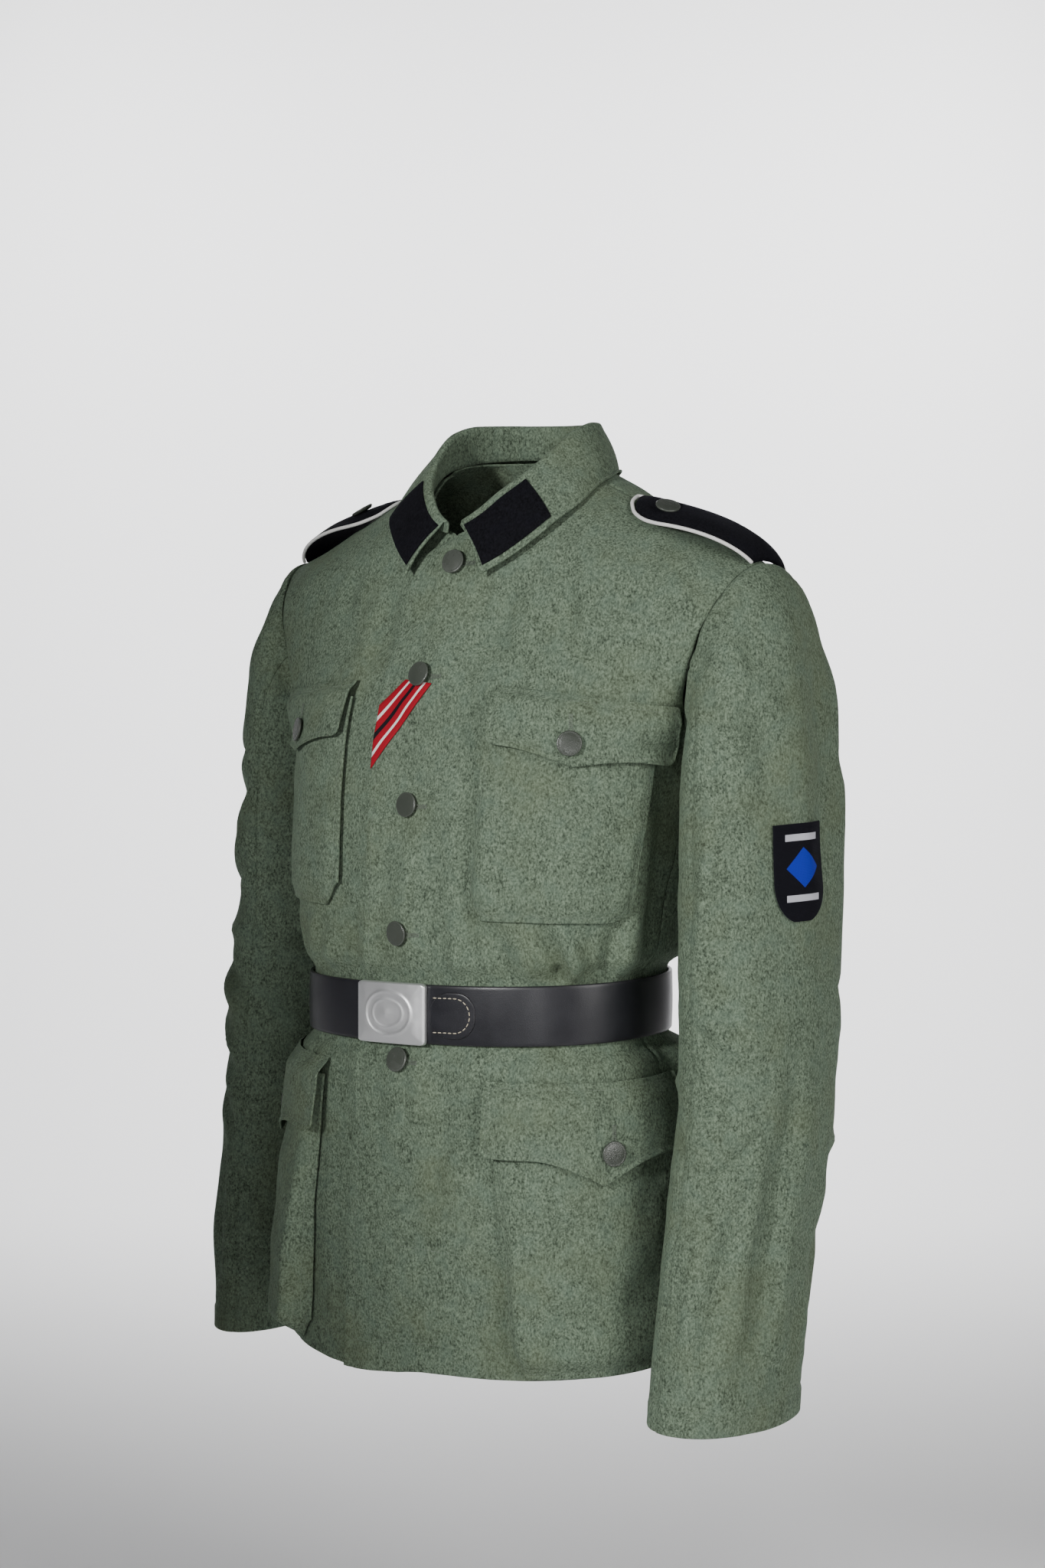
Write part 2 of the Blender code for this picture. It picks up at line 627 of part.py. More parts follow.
def add_front(side):
    """A front panel. The left one runs past the centre on top, the right one runs under it."""
    rows_up = np.concatenate(
        [np.linspace(i, i + 1, n + 1)[:-1] for i, n in enumerate(ROW_SPLITS)] + [[float(TOP_ROW)]]
    )
    throat = rows_up.tolist().index(float(THROAT_ROW))
    columns = np.concatenate((np.linspace(-1.0, 0.0, EDGE_COLUMNS + 1)[:-1], np.linspace(0.0, 1.0, FRONT_COLUMNS)))
    up = np.repeat(rows_up[:, None], len(columns), axis=1)
    edge = front_edge_share(rows_up)
    if side < 0:
        row = spline(FRONT_TABLE, rows_up)
        edge = -np.arcsin((OVERLAP_UNDER / row[..., 3]) ** (row[..., 6] / 2)) / (math.pi / 2)
    across = np.where(columns < 0, -columns * edge[:, None], columns)
    across = np.minimum(across, 1 - SEAM_SHARE)
    up = np.minimum(up, TOP_ROW - SEAM_ROW_SHARE)
    points, normals = torso_cloth(across, up, side)
    if side < 0:
        covered = smooth_step((points[..., 0] + COVER_END) / (COVER_END - COVER_START))
        points = points - normals * ((WALL + 2 * GAP) * covered)[..., None]
    # The strip past the centre ends at the throat.
    return add_wall(
        "front_left" if side > 0 else "front_right",
        points,
        normals,
        wool,
        keep=lambda row, column: column >= EDGE_COLUMNS or row < throat,
        turned=side < 0,
    )


def add_back():
    rows_up = np.concatenate(
        [np.linspace(i, i + 1, n + 1)[:-1] for i, n in enumerate(ROW_SPLITS)] + [[float(TOP_ROW)]]
    )
    neck_row = rows_up.tolist().index(float(NECK_ROW))
    up = 2 * TOP_ROW - np.minimum(rows_up, TOP_ROW - SEAM_ROW_SHARE)[:, None]
    columns = np.minimum(np.linspace(0.0, 1.0, FRONT_COLUMNS), 1 - SEAM_SHARE)[None, :]
    left_points, left_normals = torso_cloth(columns, up, 1)
    right_points, right_normals = torso_cloth(columns, up, -1)
    # From the right side seam to the left one. The middle column is there twice, once for each half.
    points = np.concatenate((right_points[:, ::-1], left_points), axis=1)
    normals = np.concatenate((right_normals[:, ::-1], left_normals), axis=1)
    middle = FRONT_COLUMNS - 1
    width = 2 * FRONT_COLUMNS
    # Up to the neck the two halves share their middle points. Above it they part round the neckline.
    shared = {row * width + middle: row * width + middle + 1 for row in range(neck_row + 1)}
    return add_wall(
        "back",
        points,
        normals,
        wool,
        keep=lambda row, column: column != middle,
        turned=True,
        shared=shared,
    )


def add_sleeve(side):
    name = "left" if side > 0 else "right"
    head = np.linspace(0, SLEEVE_HEAD_END, SLEEVE_HEAD_STRIPS + 1)
    down = np.concatenate((head[:-1], np.linspace(SLEEVE_HEAD_END, SLEEVE_ROWS, SLEEVE_STRIPS + 1)))
    half_gap = math.degrees(GAP / 2 / SLEEVE_RADIUS)
    spans = {
        "upper": (BACK_SLEEVE_SEAM + half_gap, FRONT_SLEEVE_SEAM - half_gap),
        "under": (FRONT_SLEEVE_SEAM + half_gap, 360 + BACK_SLEEVE_SEAM - half_gap),
    }
    for part, (start, end) in spans.items():
        angles = np.linspace(start, end, SLEEVE_COLUMNS[part])
        points, normals = sleeve_cloth(angles[None, :], down[:, None], side)
        points[0, :, 0] += side * ARMHOLE_GAP
        add_wall(f"sleeve_{name}_{part}", points, normals, wool, turned=side > 0)


def add_collar():
    half = np.array(COLLAR_ANGLES, float)
    left = np.stack([collar_surface(half, share) for share in COLLAR_SHARES])
    right = left[:, -2::-1] * np.array((-1.0, 1.0, 1.0))
    points = np.concatenate((left, right), axis=1)
    rows, columns = points.shape[:2]
    obj = add_object("collar", points.reshape(-1, 3), grid_faces(rows, columns, turned=True), wool)
    solidify(obj, COLLAR_WALL, 0.0)
    return obj


def add_collar_tab(side):
    """A plain patch on the collar's leaf, parallel to its front end."""
    name = "left" if side > 0 else "right"
    shares = np.linspace(*TAB_SHARES, 5)
    angles = np.linspace(*TAB_ANGLES, 6)
    points = np.stack([collar_surface(angles + TAB_SLANT * (share - TAB_SHARES[0]), share) for share in shares])
    rows, columns = points.shape[:2]
    normals = grid_normals(points)
    points = (points + normals * (COLLAR_WALL / 2 + GAP)) * np.array((side, 1.0, 1.0))
    faces = grid_faces(rows, columns, turned=side > 0)
    obj = add_object(f"collar_tab_{name}", points.reshape(-1, 3), faces, black)
    return solidify(obj, THIN)


def grid_normals(points):
    """Normals of a grid of points, from the directions along its rows and columns."""
    along = np.gradient(points, axis=1)
    down = np.gradient(points, axis=0)
    return unit(np.cross(down, along))


def cloth_lattice(side):
    """Points of a front panel on an even lattice of distance along the cloth from the centre, and height."""
    across = np.linspace(-0.45, 1.25, 120)
    up = np.linspace(-0.2, TOP_ROW - 2, 260)
    points, _ = torso_cloth(across[None, :], up[:, None], side)
    lines = []
    for line in points:
        length = np.concatenate(((0.0,), np.cumsum(np.linalg.norm(np.diff(line, axis=0), axis=1))))
        length -= np.interp(0.0, across, length)
        lines.append(np.stack([np.interp(REACHES, length, line[:, i]) for i in range(3)], axis=-1))
    lines = np.stack(lines)
    result = np.empty((len(REACHES), len(HEIGHTS), 3))
    for number in range(len(REACHES)):
        column = lines[:, number]
        for axis in range(3):
            result[number, :, axis] = np.interp(HEIGHTS, column[:, 2], column[:, axis])
        result[number, :, 2] = HEIGHTS
    return result


def cloth_at(side, reach, height, lift=0.0):
    """A point on a front panel, moved out by lift, with its normal."""
    lattice = lattices[side]
    u = np.clip((reach - REACHES[0]) / LATTICE_STEP, 0, len(REACHES) - 1.001)
    v = np.clip((height - HEIGHTS[0]) / LATTICE_STEP, 0, len(HEIGHTS) - 1.001)
    i, j = np.floor(u).astype(int), np.floor(v).astype(int)
    fu, fv = (u - i)[..., None], (v - j)[..., None]
    near = lattice[i, j] * (1 - fu) + lattice[i + 1, j] * fu
    far = lattice[i, j + 1] * (1 - fu) + lattice[i + 1, j + 1] * fu
    point = near * (1 - fv) + far * fv
    normal = lattice_normals[side][i, j]
    return point + normal * np.asarray(lift)[..., None], normal


def make_lattices():
    for side in (1, -1):
        lattices[side] = cloth_lattice(side)
        along = np.gradient(lattices[side], axis=0)
        rise = np.gradient(lattices[side], axis=1)
        lattice_normals[side] = unit(np.cross(along, rise)) * side


def pocket_lift(kind, side, side_share, down_share):
    """How far a pocket's outer face stands off the panel. It turns in at its sides and its bottom."""
    pocket = POCKETS[kind]
    inward = np.minimum(side_share, 1 - side_share) / POCKET_TURN
    upward = (1 - down_share) / POCKET_TURN
    full = smooth_step(inward) * smooth_step(upward)
    opening = OPENING_LIFT + (1 - OPENING_LIFT) * smooth_step(down_share / OPENING_END)
    outward = 1 - (1 - pocket["outer_share"]) * side_share
    return LIE + pocket["stand_off"][side] * full * opening * outward


def pocket_place(kind, side, side_share, down_share):
    pocket = POCKETS[kind]
    corner = 0.5 - np.abs(side_share - 0.5)
    inner = pocket["inner"][0] + (pocket["inner"][1] - pocket["inner"][0]) * down_share
    outer = pocket["outer"][0] + (pocket["outer"][1] - pocket["outer"][0]) * down_share
    reach = inner + (outer - inner) * side_share
    top = pocket["top"][0] + (pocket["top"][1] - pocket["top"][0]) * side_share
    bottom = pocket["bottom"][0] + (pocket["bottom"][1] - pocket["bottom"][0]) * side_share
    # The lower corners are rounded.
    rounded = bottom - pocket["drop"][side] + CORNER_RISE * (1 - smooth_step(corner / CORNER_SHARE))
    return reach, top + (rounded - top) * down_share


def add_pocket(kind, side):
    name = "left" if side > 0 else "right"
    side_share = np.array((0.0, 0.05, 0.12, 0.3, 0.5, 0.7, 0.88, 0.95, 1.0))
    down_share = np.array((0.0, 0.2, 0.45, 0.7, 0.86, 0.95, 1.0))
    across, down = np.meshgrid(side_share, down_share)
    reach, height = pocket_place(kind, side, across, down)
    points, _ = cloth_at(side, reach, height, pocket_lift(kind, side, across, down))
    obj = add_object(
        f"{kind}_pocket_{name}",
        points.reshape(-1, 3),
        grid_faces(len(down_share), len(side_share), turned=side > 0),
        wool,
    )
    return solidify(obj, THIN)


def flap_place(kind, side_share, down_share):
    """A flap with a point in the middle and a shallow hollow on each side of it."""
    flap = FLAPS[kind]
    reach = flap["inner"] + (flap["outer"] - flap["inner"]) * side_share
    top = flap["top"][0] + (flap["top"][1] - flap["top"][0]) * side_share
    middle = 1 - np.abs(2 * side_share - 1)
    drop = flap["side"] + (flap["tip"] - flap["side"]) * middle**3
    return reach, top - drop * down_share


def flap_lift(kind, side, side_share, down_share):
    """A flap lies on the panel at its seam and on the pocket below it."""
    pocket = POCKETS[kind]
    _, height = flap_place(kind, side_share, down_share)
    top = pocket["top"][0] + (pocket["top"][1] - pocket["top"][0]) * side_share
    bottom = pocket["bottom"][0]
    down = np.clip((top - height) / (top - bottom), 0.0, 1.0)
    below = pocket_lift(kind, side, np.clip(side_share, FLAP_INSET, 1 - FLAP_INSET), down)
    return LIE + smooth_step(down_share / FLAP_ROOT) * (below - LIE + THIN + FLAP_CLEAR)


def add_flap(kind, side):
    name = "left" if side > 0 else "right"
    side_share = np.linspace(0.0, 1.0, 11)
    down_share = np.array((0.0, 0.15, 0.3, 0.65, 1.0))
    across, down = np.meshgrid(side_share, down_share)
    reach, height = flap_place(kind, across, down)
    points, _ = cloth_at(side, reach, height, flap_lift(kind, side, across, down))
    obj = add_object(
        f"{kind}_flap_{name}",
        points.reshape(-1, 3),
        grid_faces(len(down_share), len(side_share), turned=side > 0),
        wool,
    )
    solidify(obj, THIN)
    share, low = (np.array(value) for value in FLAPS[kind]["button"])
    reach, height = flap_place(kind, share, low)
    lift = flap_lift(kind, side, share, low) + THIN + BUTTON_SEAT
    seat, normal = cloth_at(side, reach, height, lift)
    add_button(f"{kind}_button_{name}", seat, normal)


def strap_points(side, outline):
    """Points on a shoulder strap. outline holds rows of (share along the seam, distance across it)."""
    result, directions = [], []
    for share, distances in outline:
        up = np.linspace(TOP_ROW - STRAP_ROW_REACH, TOP_ROW + STRAP_ROW_REACH, STRAP_SAMPLES)
        points, normals = torso_cloth(np.full_like(up, share), up, side)
        length = np.concatenate(((0.0,), np.cumsum(np.linalg.norm(np.diff(points, axis=0), axis=1))))
        length -= length[STRAP_SAMPLES // 2]
        place = np.array(distances) + np.interp(share, (STRAP_START, STRAP_END), STRAP_SHIFTS)
        result.append(np.stack([np.interp(place, length, points[:, i]) for i in range(3)], axis=-1))
        directions.append(unit(np.stack([np.interp(place, length, normals[:, i]) for i in range(3)], axis=-1)))
    return np.stack(result), np.stack(directions)


def strap_half_width(share):
    """Half the strap's width at a place along it, which closes in a round at the collar end."""
    start = np.clip((share - STRAP_START) / STRAP_ROUND, 0.0, 1.0)
    return np.maximum(STRAP_WIDTH / 2 * np.sqrt(1 - (1 - start) ** STRAP_ROUNDNESS), STRAP_TIP)


def strap_lift(share):
    middle = (share - STRAP_START) / (STRAP_END - STRAP_START)
    return STRAP_SEAT + STRAP_LIFT * np.sin(math.pi * np.clip(middle, 0, 1))


def add_strap(side):
    name = "left" if side > 0 else "right"
    shares = STRAP_START + (STRAP_END - STRAP_START) * np.array(STRAP_PLACES)
    crosswise = np.linspace(-1.0, 1.0, STRAP_COLUMNS)
    outline = [(share, crosswise * strap_half_width(share)) for share in shares]
    points, normals = strap_points(side, outline)
    points = points + normals * strap_lift(shares)[:, None, None]
    obj = add_object(
        f"shoulder_strap_{name}",
        points.reshape(-1, 3),
        grid_faces(len(shares), len(crosswise), turned=side > 0),
        black,
    )
    solidify(obj, STRAP_THICK)
    add_piping(side, shares)
    seat, normal = strap_points(side, [(STRAP_BUTTON, np.array((0.0,)))])
    seat = seat[0, 0] + normal[0, 0] * (strap_lift(STRAP_BUTTON) + STRAP_THICK + STRAP_BUTTON_SEAT)
    add_button(f"strap_button_{name}", seat, normal[0, 0])


def add_piping(side, shares):
    """A thin cord round the strap's two long edges and its round end."""
    name = "left" if side > 0 else "right"
    half = np.array([strap_half_width(share) for share in shares])
    along = shares * STRAP_SEAM_LENGTH
    outline = np.concatenate(
        (np.stack((along, -half), axis=-1)[::-1], np.stack((along, half), axis=-1)[1:]), axis=0
    )
    outline = np.insert(outline, len(shares), (along[0], 0.0), axis=0)
    run = unit(np.gradient(outline, axis=0))
    outline = outline + np.stack((-run[:, 1], run[:, 0]), axis=-1) * (PIPING_RADIUS + 3 * GAP)
    route = []
    for length, across in outline:
        share = length / STRAP_SEAM_LENGTH
        points, normals = strap_points(side, [(share, np.array((across,)))])
        route.append(points[0, 0] + normals[0, 0] * (strap_lift(share) + STRAP_THICK / 2))
    curve = bpy.data.curves.new(f"strap_piping_{name}", "CURVE")
    curve.dimensions = "3D"
    curve.bevel_depth = PIPING_RADIUS
    curve.bevel_resolution = 1
    curve.use_fill_caps = True
    line = curve.splines.new("POLY")
    line.points.add(len(route) - 1)
    for point, place in zip(line.points, route):
        point.co = (*place, 1.0)
    curve.materials.append(white)
    obj = bpy.data.objects.new(f"strap_piping_{name}", curve)
    parts.objects.link(obj)
    return obj


def add_button(name, seat, normal):
    """A domed disc, turned about its axis, lying on seat with its face along normal."""
    profile = [(x * BUTTON_RADIUS, z * BUTTON_THICK) for x, z in BUTTON_PROFILE]
    mesh = bpy.data.meshes.new(name)
    edges = [(number, number + 1) for number in range(len(profile) - 1)]
    mesh.from_pydata([(x, 0.0, z) for x, z in profile], edges, [])
    mesh.materials.append(metal)
    obj = bpy.data.objects.new(name, mesh)
    parts.objects.link(obj)
    turn = obj.modifiers.new("turn", "SCREW")
    turn.steps = BUTTON_STEPS
    turn.render_steps = BUTTON_STEPS
    turn.use_merge_vertices = True
    turn.merge_threshold = 0.0001
    turn.use_smooth_shade = True
    facing = Vector(normal).to_track_quat("Z", "Y").to_matrix().to_4x4()
    obj.matrix_world = Matrix.Translation(Vector(seat)) @ facing
    return obj


def add_front_buttons():
    for number, (height, reach, lift) in enumerate(FRONT_BUTTONS, 1):
        seat, normal = cloth_at(1, np.array(reach), np.array(height), lift)
        add_button(f"front_button_{number}", seat, normal)


def belt_ring(angle, height, lift):
    """The belt follows the body's section at the waist, moved out by lift."""
    _, half_width, front, back, roundness, middle = BODY_SECTIONS[BELT_ROW]
    turn = np.radians(angle)
    depth = np.where(np.cos(turn) > 0, middle - front, back - middle)
    x = half_width * signed_power(np.sin(turn), 2 / roundness)
    from_middle = -depth * signed_power(np.cos(turn), 2 / roundness)
    x, from_middle, depth, height = np.broadcast_arrays(x, from_middle, depth, height)
    steep = roundness - 1
    out_x = signed_power(x / half_width, steep) / half_width
    out_y = signed_power(from_middle / depth, steep) / depth
    points = tilted(np.stack((x, middle + from_middle, height), axis=-1))
    return points + unit(np.stack((out_x, out_y, np.zeros_like(out_x)), axis=-1)) * lift


def add_belt():
    count = BELT_STEPS
    angles = np.arange(count) * 360 / count
    heights = (BELT_MIDDLE - BELT_HEIGHT / 2, BELT_MIDDLE + BELT_HEIGHT / 2)
    loops = [
        belt_ring(angles, heights[0], BELT_LIFT),
        belt_ring(angles, heights[0], BELT_LIFT + LEATHER),
        belt_ring(angles, heights[1], BELT_LIFT + LEATHER),
        belt_ring(angles, heights[1], BELT_LIFT),
    ]
    vertices = np.concatenate(loops)
    faces = []
    for ring in range(4):
        following = (ring + 1) % 4
        for number in range(count):
            after = (number + 1) % count
            low, high = ring * count, following * count
            faces.append((low + number, low + after, high + after, high + number))
    return add_object("belt", vertices, faces, leather)


def belt_patch(name, sizes, lift, material, columns=7, rows=4, narrow_end=0.0):
    """A plate that lies on the belt, from one distance from the centre front to another."""
    start, end, height, thickness = sizes
    degrees = np.degrees(np.linspace(start, end, columns) / BODY_RADIUS)
    share = np.linspace(0.0, 1.0, columns)
    half = height / 2 * (1 - narrow_end * share**3)
    level = np.linspace(-1.0, 1.0, rows)
    points = np.stack([belt_ring(degrees, BELT_MIDDLE + value * half, lift) for value in level])
    obj = add_object(name, points.reshape(-1, 3), grid_faces(rows, columns), material)
    return solidify(obj, thickness)


def add_belt_fittings():
    lift = BELT_LIFT + LEATHER + GAP
    belt_patch("belt_tab", BELT_TAB, lift, leather, columns=6, narrow_end=BELT_TAB_NARROWS)
    buckle = belt_patch("buckle", BUCKLE, lift + GAP, silver)
    bevel = buckle.modifiers.new("edge", "BEVEL")
    bevel.width = BUCKLE_BEVEL
    bevel.segments = 2
    bevel.limit_method = "ANGLE"
    bevel.angle_limit = math.radians(40)


def add_ribbon():
    """A short band from the second buttonhole down to the front's free edge."""
    share = np.linspace(0.0, 1.0, 6)
    level = np.linspace(0.0, 1.0, 4)
    along, across = np.meshgrid(share, level)
    ends = (RIBBON_UPPER[0][0], RIBBON_UPPER[1][0])
    reach = ends[0] + (ends[1] - ends[0]) * along
    top = RIBBON_UPPER[0][1] + (RIBBON_UPPER[1][1] - RIBBON_UPPER[0][1]) * along
    bottom = RIBBON_LOWER[0][1] + (RIBBON_LOWER[1][1] - RIBBON_LOWER[0][1]) * along
    height = top + (bottom - top) * across
    points, _ = cloth_at(1, reach, height, np.full(reach.shape, GAP))
    obj = add_object("ribbon", points.reshape(-1, 3), grid_faces(4, 6), red)
    return solidify(obj, RIBBON_THICK)


def add_sleeve_patch():
    """A small badge ground, round at its foot, on the outer side of the left sleeve."""
    down_levels = np.linspace(0.0, 1.0, 8)
    side_levels = np.linspace(-1.0, 1.0, 7)
    outer_heights = [-row[3] for row in SLEEVE_SECTIONS]
    rows_at = np.interp(-(PATCH_TOP - PATCH_HEIGHT * down_levels), outer_heights, range(SLEEVE_ROWS + 1))
    foot = np.clip((down_levels - PATCH_FOOT) / PATCH_FOOT_LENGTH, 0, 1)
    narrow = np.sqrt(np.clip(1 - foot**2, 0.02, 1))
    angles = PATCH_MIDDLE + side_levels[None, :] * PATCH_HALF * narrow[:, None]
    points, normals = sleeve_cloth(angles, rows_at[:, None], 1)
    points = points - normals * (WALL + PATCH_LIE)
    obj = add_object("sleeve_patch", points.reshape(-1, 3), grid_faces(8, 7), black)
    return solidify(obj, PATCH_THICK)


for old in list(bpy.data.objects):
    bpy.data.objects.remove(old)
parts = bpy.data.collections.new(COLLECTION)
bpy.context.scene.collection.children.link(parts)

wool = make_material("field_grey_wool", (0.125, 0.150, 0.118), 0.95)
black = make_material("black_cloth", (0.012, 0.012, 0.013), 0.9)
white = make_material("white_piping", (0.72, 0.71, 0.66), 0.8)
metal = make_material("grey_green_paint", (0.10, 0.12, 0.10), 0.6, 0.3)
leather = make_material("black_leather", (0.015, 0.014, 0.014), 0.45)
silver = make_material("dull_aluminium", (0.42, 0.43, 0.43), 0.45, 0.9)
red = make_material("red_ribbon", (0.32, 0.03, 0.03), 0.6)

lattices = {}
lattice_normals = {}
make_lattices()
body_points, body_normals = body_samples()

add_back()
add_collar()
for side in (1, -1):
    add_front(side)
    add_sleeve(side)
    add_collar_tab(side)
    add_strap(side)
    for kind in POCKETS:
        add_pocket(kind, side)
        add_flap(kind, side)
add_front_buttons()
add_belt()
add_belt_fittings()
add_ribbon()
add_sleeve_patch()
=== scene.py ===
import math

import bmesh
import bpy
import numpy as np
from mathutils import Matrix, Vector
from mathutils.kdtree import KDTree


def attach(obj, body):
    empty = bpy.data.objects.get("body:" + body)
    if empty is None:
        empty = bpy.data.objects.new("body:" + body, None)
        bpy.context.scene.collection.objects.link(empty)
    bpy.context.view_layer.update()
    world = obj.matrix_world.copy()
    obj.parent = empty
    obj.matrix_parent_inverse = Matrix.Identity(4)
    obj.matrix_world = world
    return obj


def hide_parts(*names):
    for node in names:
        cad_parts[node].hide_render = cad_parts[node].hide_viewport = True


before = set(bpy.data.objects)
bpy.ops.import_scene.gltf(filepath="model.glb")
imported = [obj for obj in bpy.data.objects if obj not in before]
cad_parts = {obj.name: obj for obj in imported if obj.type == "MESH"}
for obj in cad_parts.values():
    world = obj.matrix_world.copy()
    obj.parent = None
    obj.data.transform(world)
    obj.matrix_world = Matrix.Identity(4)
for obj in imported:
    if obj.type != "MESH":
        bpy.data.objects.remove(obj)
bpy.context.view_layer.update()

# Metres throughout. +Z is up, +X the wearer's left, -Y the front, and the origin is the middle of the neck.
cloth = {
    "wall": 0.0018,  # the wool
    "thin": 0.0014,  # pockets and flaps, pressed flat
    "gap": 0.0003,  # between neighbouring pieces
    "armholeGap": 0.0014,
    "lie": 0.0018,  # from a panel to what is sewn flat on it
    "flapClear": 0.0024,  # from a pocket to its flap
    "step": 0.0038,  # spacing of the mesh's points
    "edgeRound": 0.0009,  # how far an edge rolls over
    "seamDepth": 0.0009,  # how deep a seam's ditch is
    "seamWidth": 0.0020,
    "stitchDepth": 0.0005,
    "creaseScale": 1.5,
}


def spline(table, at):
    table = np.asarray(table, float)
    at = np.asarray(at, float)
    step = np.diff(table, axis=0)
    same = step[:-1] * step[1:] > 0
    total = np.where(same, step[:-1] + step[1:], 1.0)
    inside = np.where(same, 2 * step[:-1] * step[1:] / total, 0.0)
    slope = np.vstack((step[:1], inside, step[-1:]))
    low = np.clip(np.floor(at).astype(int), 0, len(table) - 2)
    t = (at - low)[..., None]
    value = (2 * t**3 - 3 * t**2 + 1) * table[low] + (3 * t**2 - 2 * t**3) * table[low + 1]
    return value + (t**3 - 2 * t**2 + t) * slope[low] + (t**3 - t**2) * slope[low + 1]


def curveAt(rows, at, column=1):
    rows = np.asarray(rows, float)
    place = np.interp(at, rows[:, 0], np.arange(len(rows)))
    return spline(rows[:, column : column + 1], place)[..., 0]


def signedPower(value, power):
    return np.sign(value) * np.abs(value) ** power


def unit(vectors):
    return vectors / np.maximum(np.linalg.norm(vectors, axis=-1, keepdims=True), 1e-12)


def smoothStep(value):
    value = np.clip(value, 0.0, 1.0)
    return value * value * (3 - 2 * value)


noiseTable = np.random.default_rng(11).uniform(-1, 1, (32, 32, 32))


def softNoise(points, size):  # smooth, from -1 to 1, the same wherever two pieces share a place
    place = np.asarray(points, float) / size + 100
    low = np.floor(place).astype(int)
    part = smoothStep(place - low)
    value = 0.0
    for i in (0, 1):
        for j in (0, 1):
            for k in (0, 1):
                corner = noiseTable[(low[..., 0] + i) % 32, (low[..., 1] + j) % 32, (low[..., 2] + k) % 32]
                share = np.abs(1 - i - part[..., 0]) * np.abs(1 - j - part[..., 1]) * np.abs(
                    1 - k - part[..., 2]
                )
                value = value + corner * share
    return value


# Body of the tunic
body = {
    # height, half width, front, back, roundness, middle where the side seam runs
    "sections": (
        (-0.684, 0.172, -0.158, 0.090, 2.4, -0.032),
        (-0.615, 0.171, -0.158, 0.087, 2.4, -0.034),
        (-0.540, 0.170, -0.157, 0.083, 2.4, -0.037),
        (-0.480, 0.165, -0.155, 0.078, 2.4, -0.041),
        (-0.452, 0.162, -0.154, 0.076, 2.4, -0.043),
        (-0.436, 0.150, -0.149, 0.055, 2.3, -0.047),
        (-0.412, 0.149, -0.149, 0.054, 2.3, -0.047),
        (-0.388, 0.149, -0.149, 0.055, 2.3, -0.047),
        (-0.370, 0.160, -0.155, 0.077, 2.4, -0.043),
        (-0.325, 0.164, -0.156, 0.084, 2.5, -0.038),
        (-0.265, 0.169, -0.149, 0.092, 2.6, -0.026),
        (-0.210, 0.177, -0.140, 0.096, 2.7, 0.0),
    ),
    # start of the row, or its angle round the neck, then where it ends on the armhole, then roundness
    "frontRows": (
        ((0.0, -0.128, -0.158), 145, 2.5),
        ((0.0, -0.108, -0.106), 112, 2.2),
        (0, 80, 2.0),
        (36, 52, 1.8),
        (64, 26, 1.4),
        (83, 8, 1.1),
        (90, 0, 1.0),
    ),
    "backRows": (
        ((0.0, 0.099, -0.155), -145, 2.6),
        ((0.0, 0.095, -0.100), -112, 2.3),
        ((0.0, 0.080, -0.045), -80, 2.0),
        (180, -52, 1.7),
        (128, -26, 1.4),
        (97, -8, 1.1),
        (90, 0, 1.0),
    ),
    "hemRise": 0.010,
    "underarmRow": 11,
    "topRow": 18,
    "throatRow": 14,
    "neckRow": 15,
    "underarm": (0.177, 0.0, -0.210),
    "shoulderEnd": (0.223, 0.0, -0.072),
    "armholeHalfDepth": 0.060,
    "neckHalfWidth": 0.062,
    "neckMiddle": -0.015,
    "neckFront": -0.088,
    "neckBack": 0.053,
    "neckHeights": (
        (0, -0.053), (30, -0.044), (60, -0.018), (90, 0.0), (120, 0.007), (150, 0.009), (180, 0.009)
    ),
    # height, how far the left front reaches past the centre
    "frontEdge": (
        (-0.688, 0.056), (-0.582, 0.051), (-0.462, 0.046), (-0.341, 0.034), (-0.157, 0.040), (-0.050, 0.036)
    ),
    "overlapUnder": 0.022,
    "seamShare": 0.0009,
    "seamRowShare": 0.03,
    "coverStart": 0.060,
    "coverEnd": 0.080,
    "radius": 0.15,
    "axisY": -0.03,
    "waistTilt": 0.05,
    "tiltFrom": -0.02,
    "tiltReach": 0.14,
    "hemDrop": 0.011,
    "hemDropFrom": 0.03,
    "hemDropWidth": 0.09,
    "hemDropTop": -0.58,
    "hemDropFade": 0.10,
    "beltMiddle": -0.412,
    "beltHeight": 0.045,
    "beltFade": 0.018,
    "beltPress": 0.1,
    "hemTurn": 0.0214,  # where the hem is stitched down
    "frontTurn": 0.0086,  # where the front edge is stitched down
    "ripple": 0.0009,
}

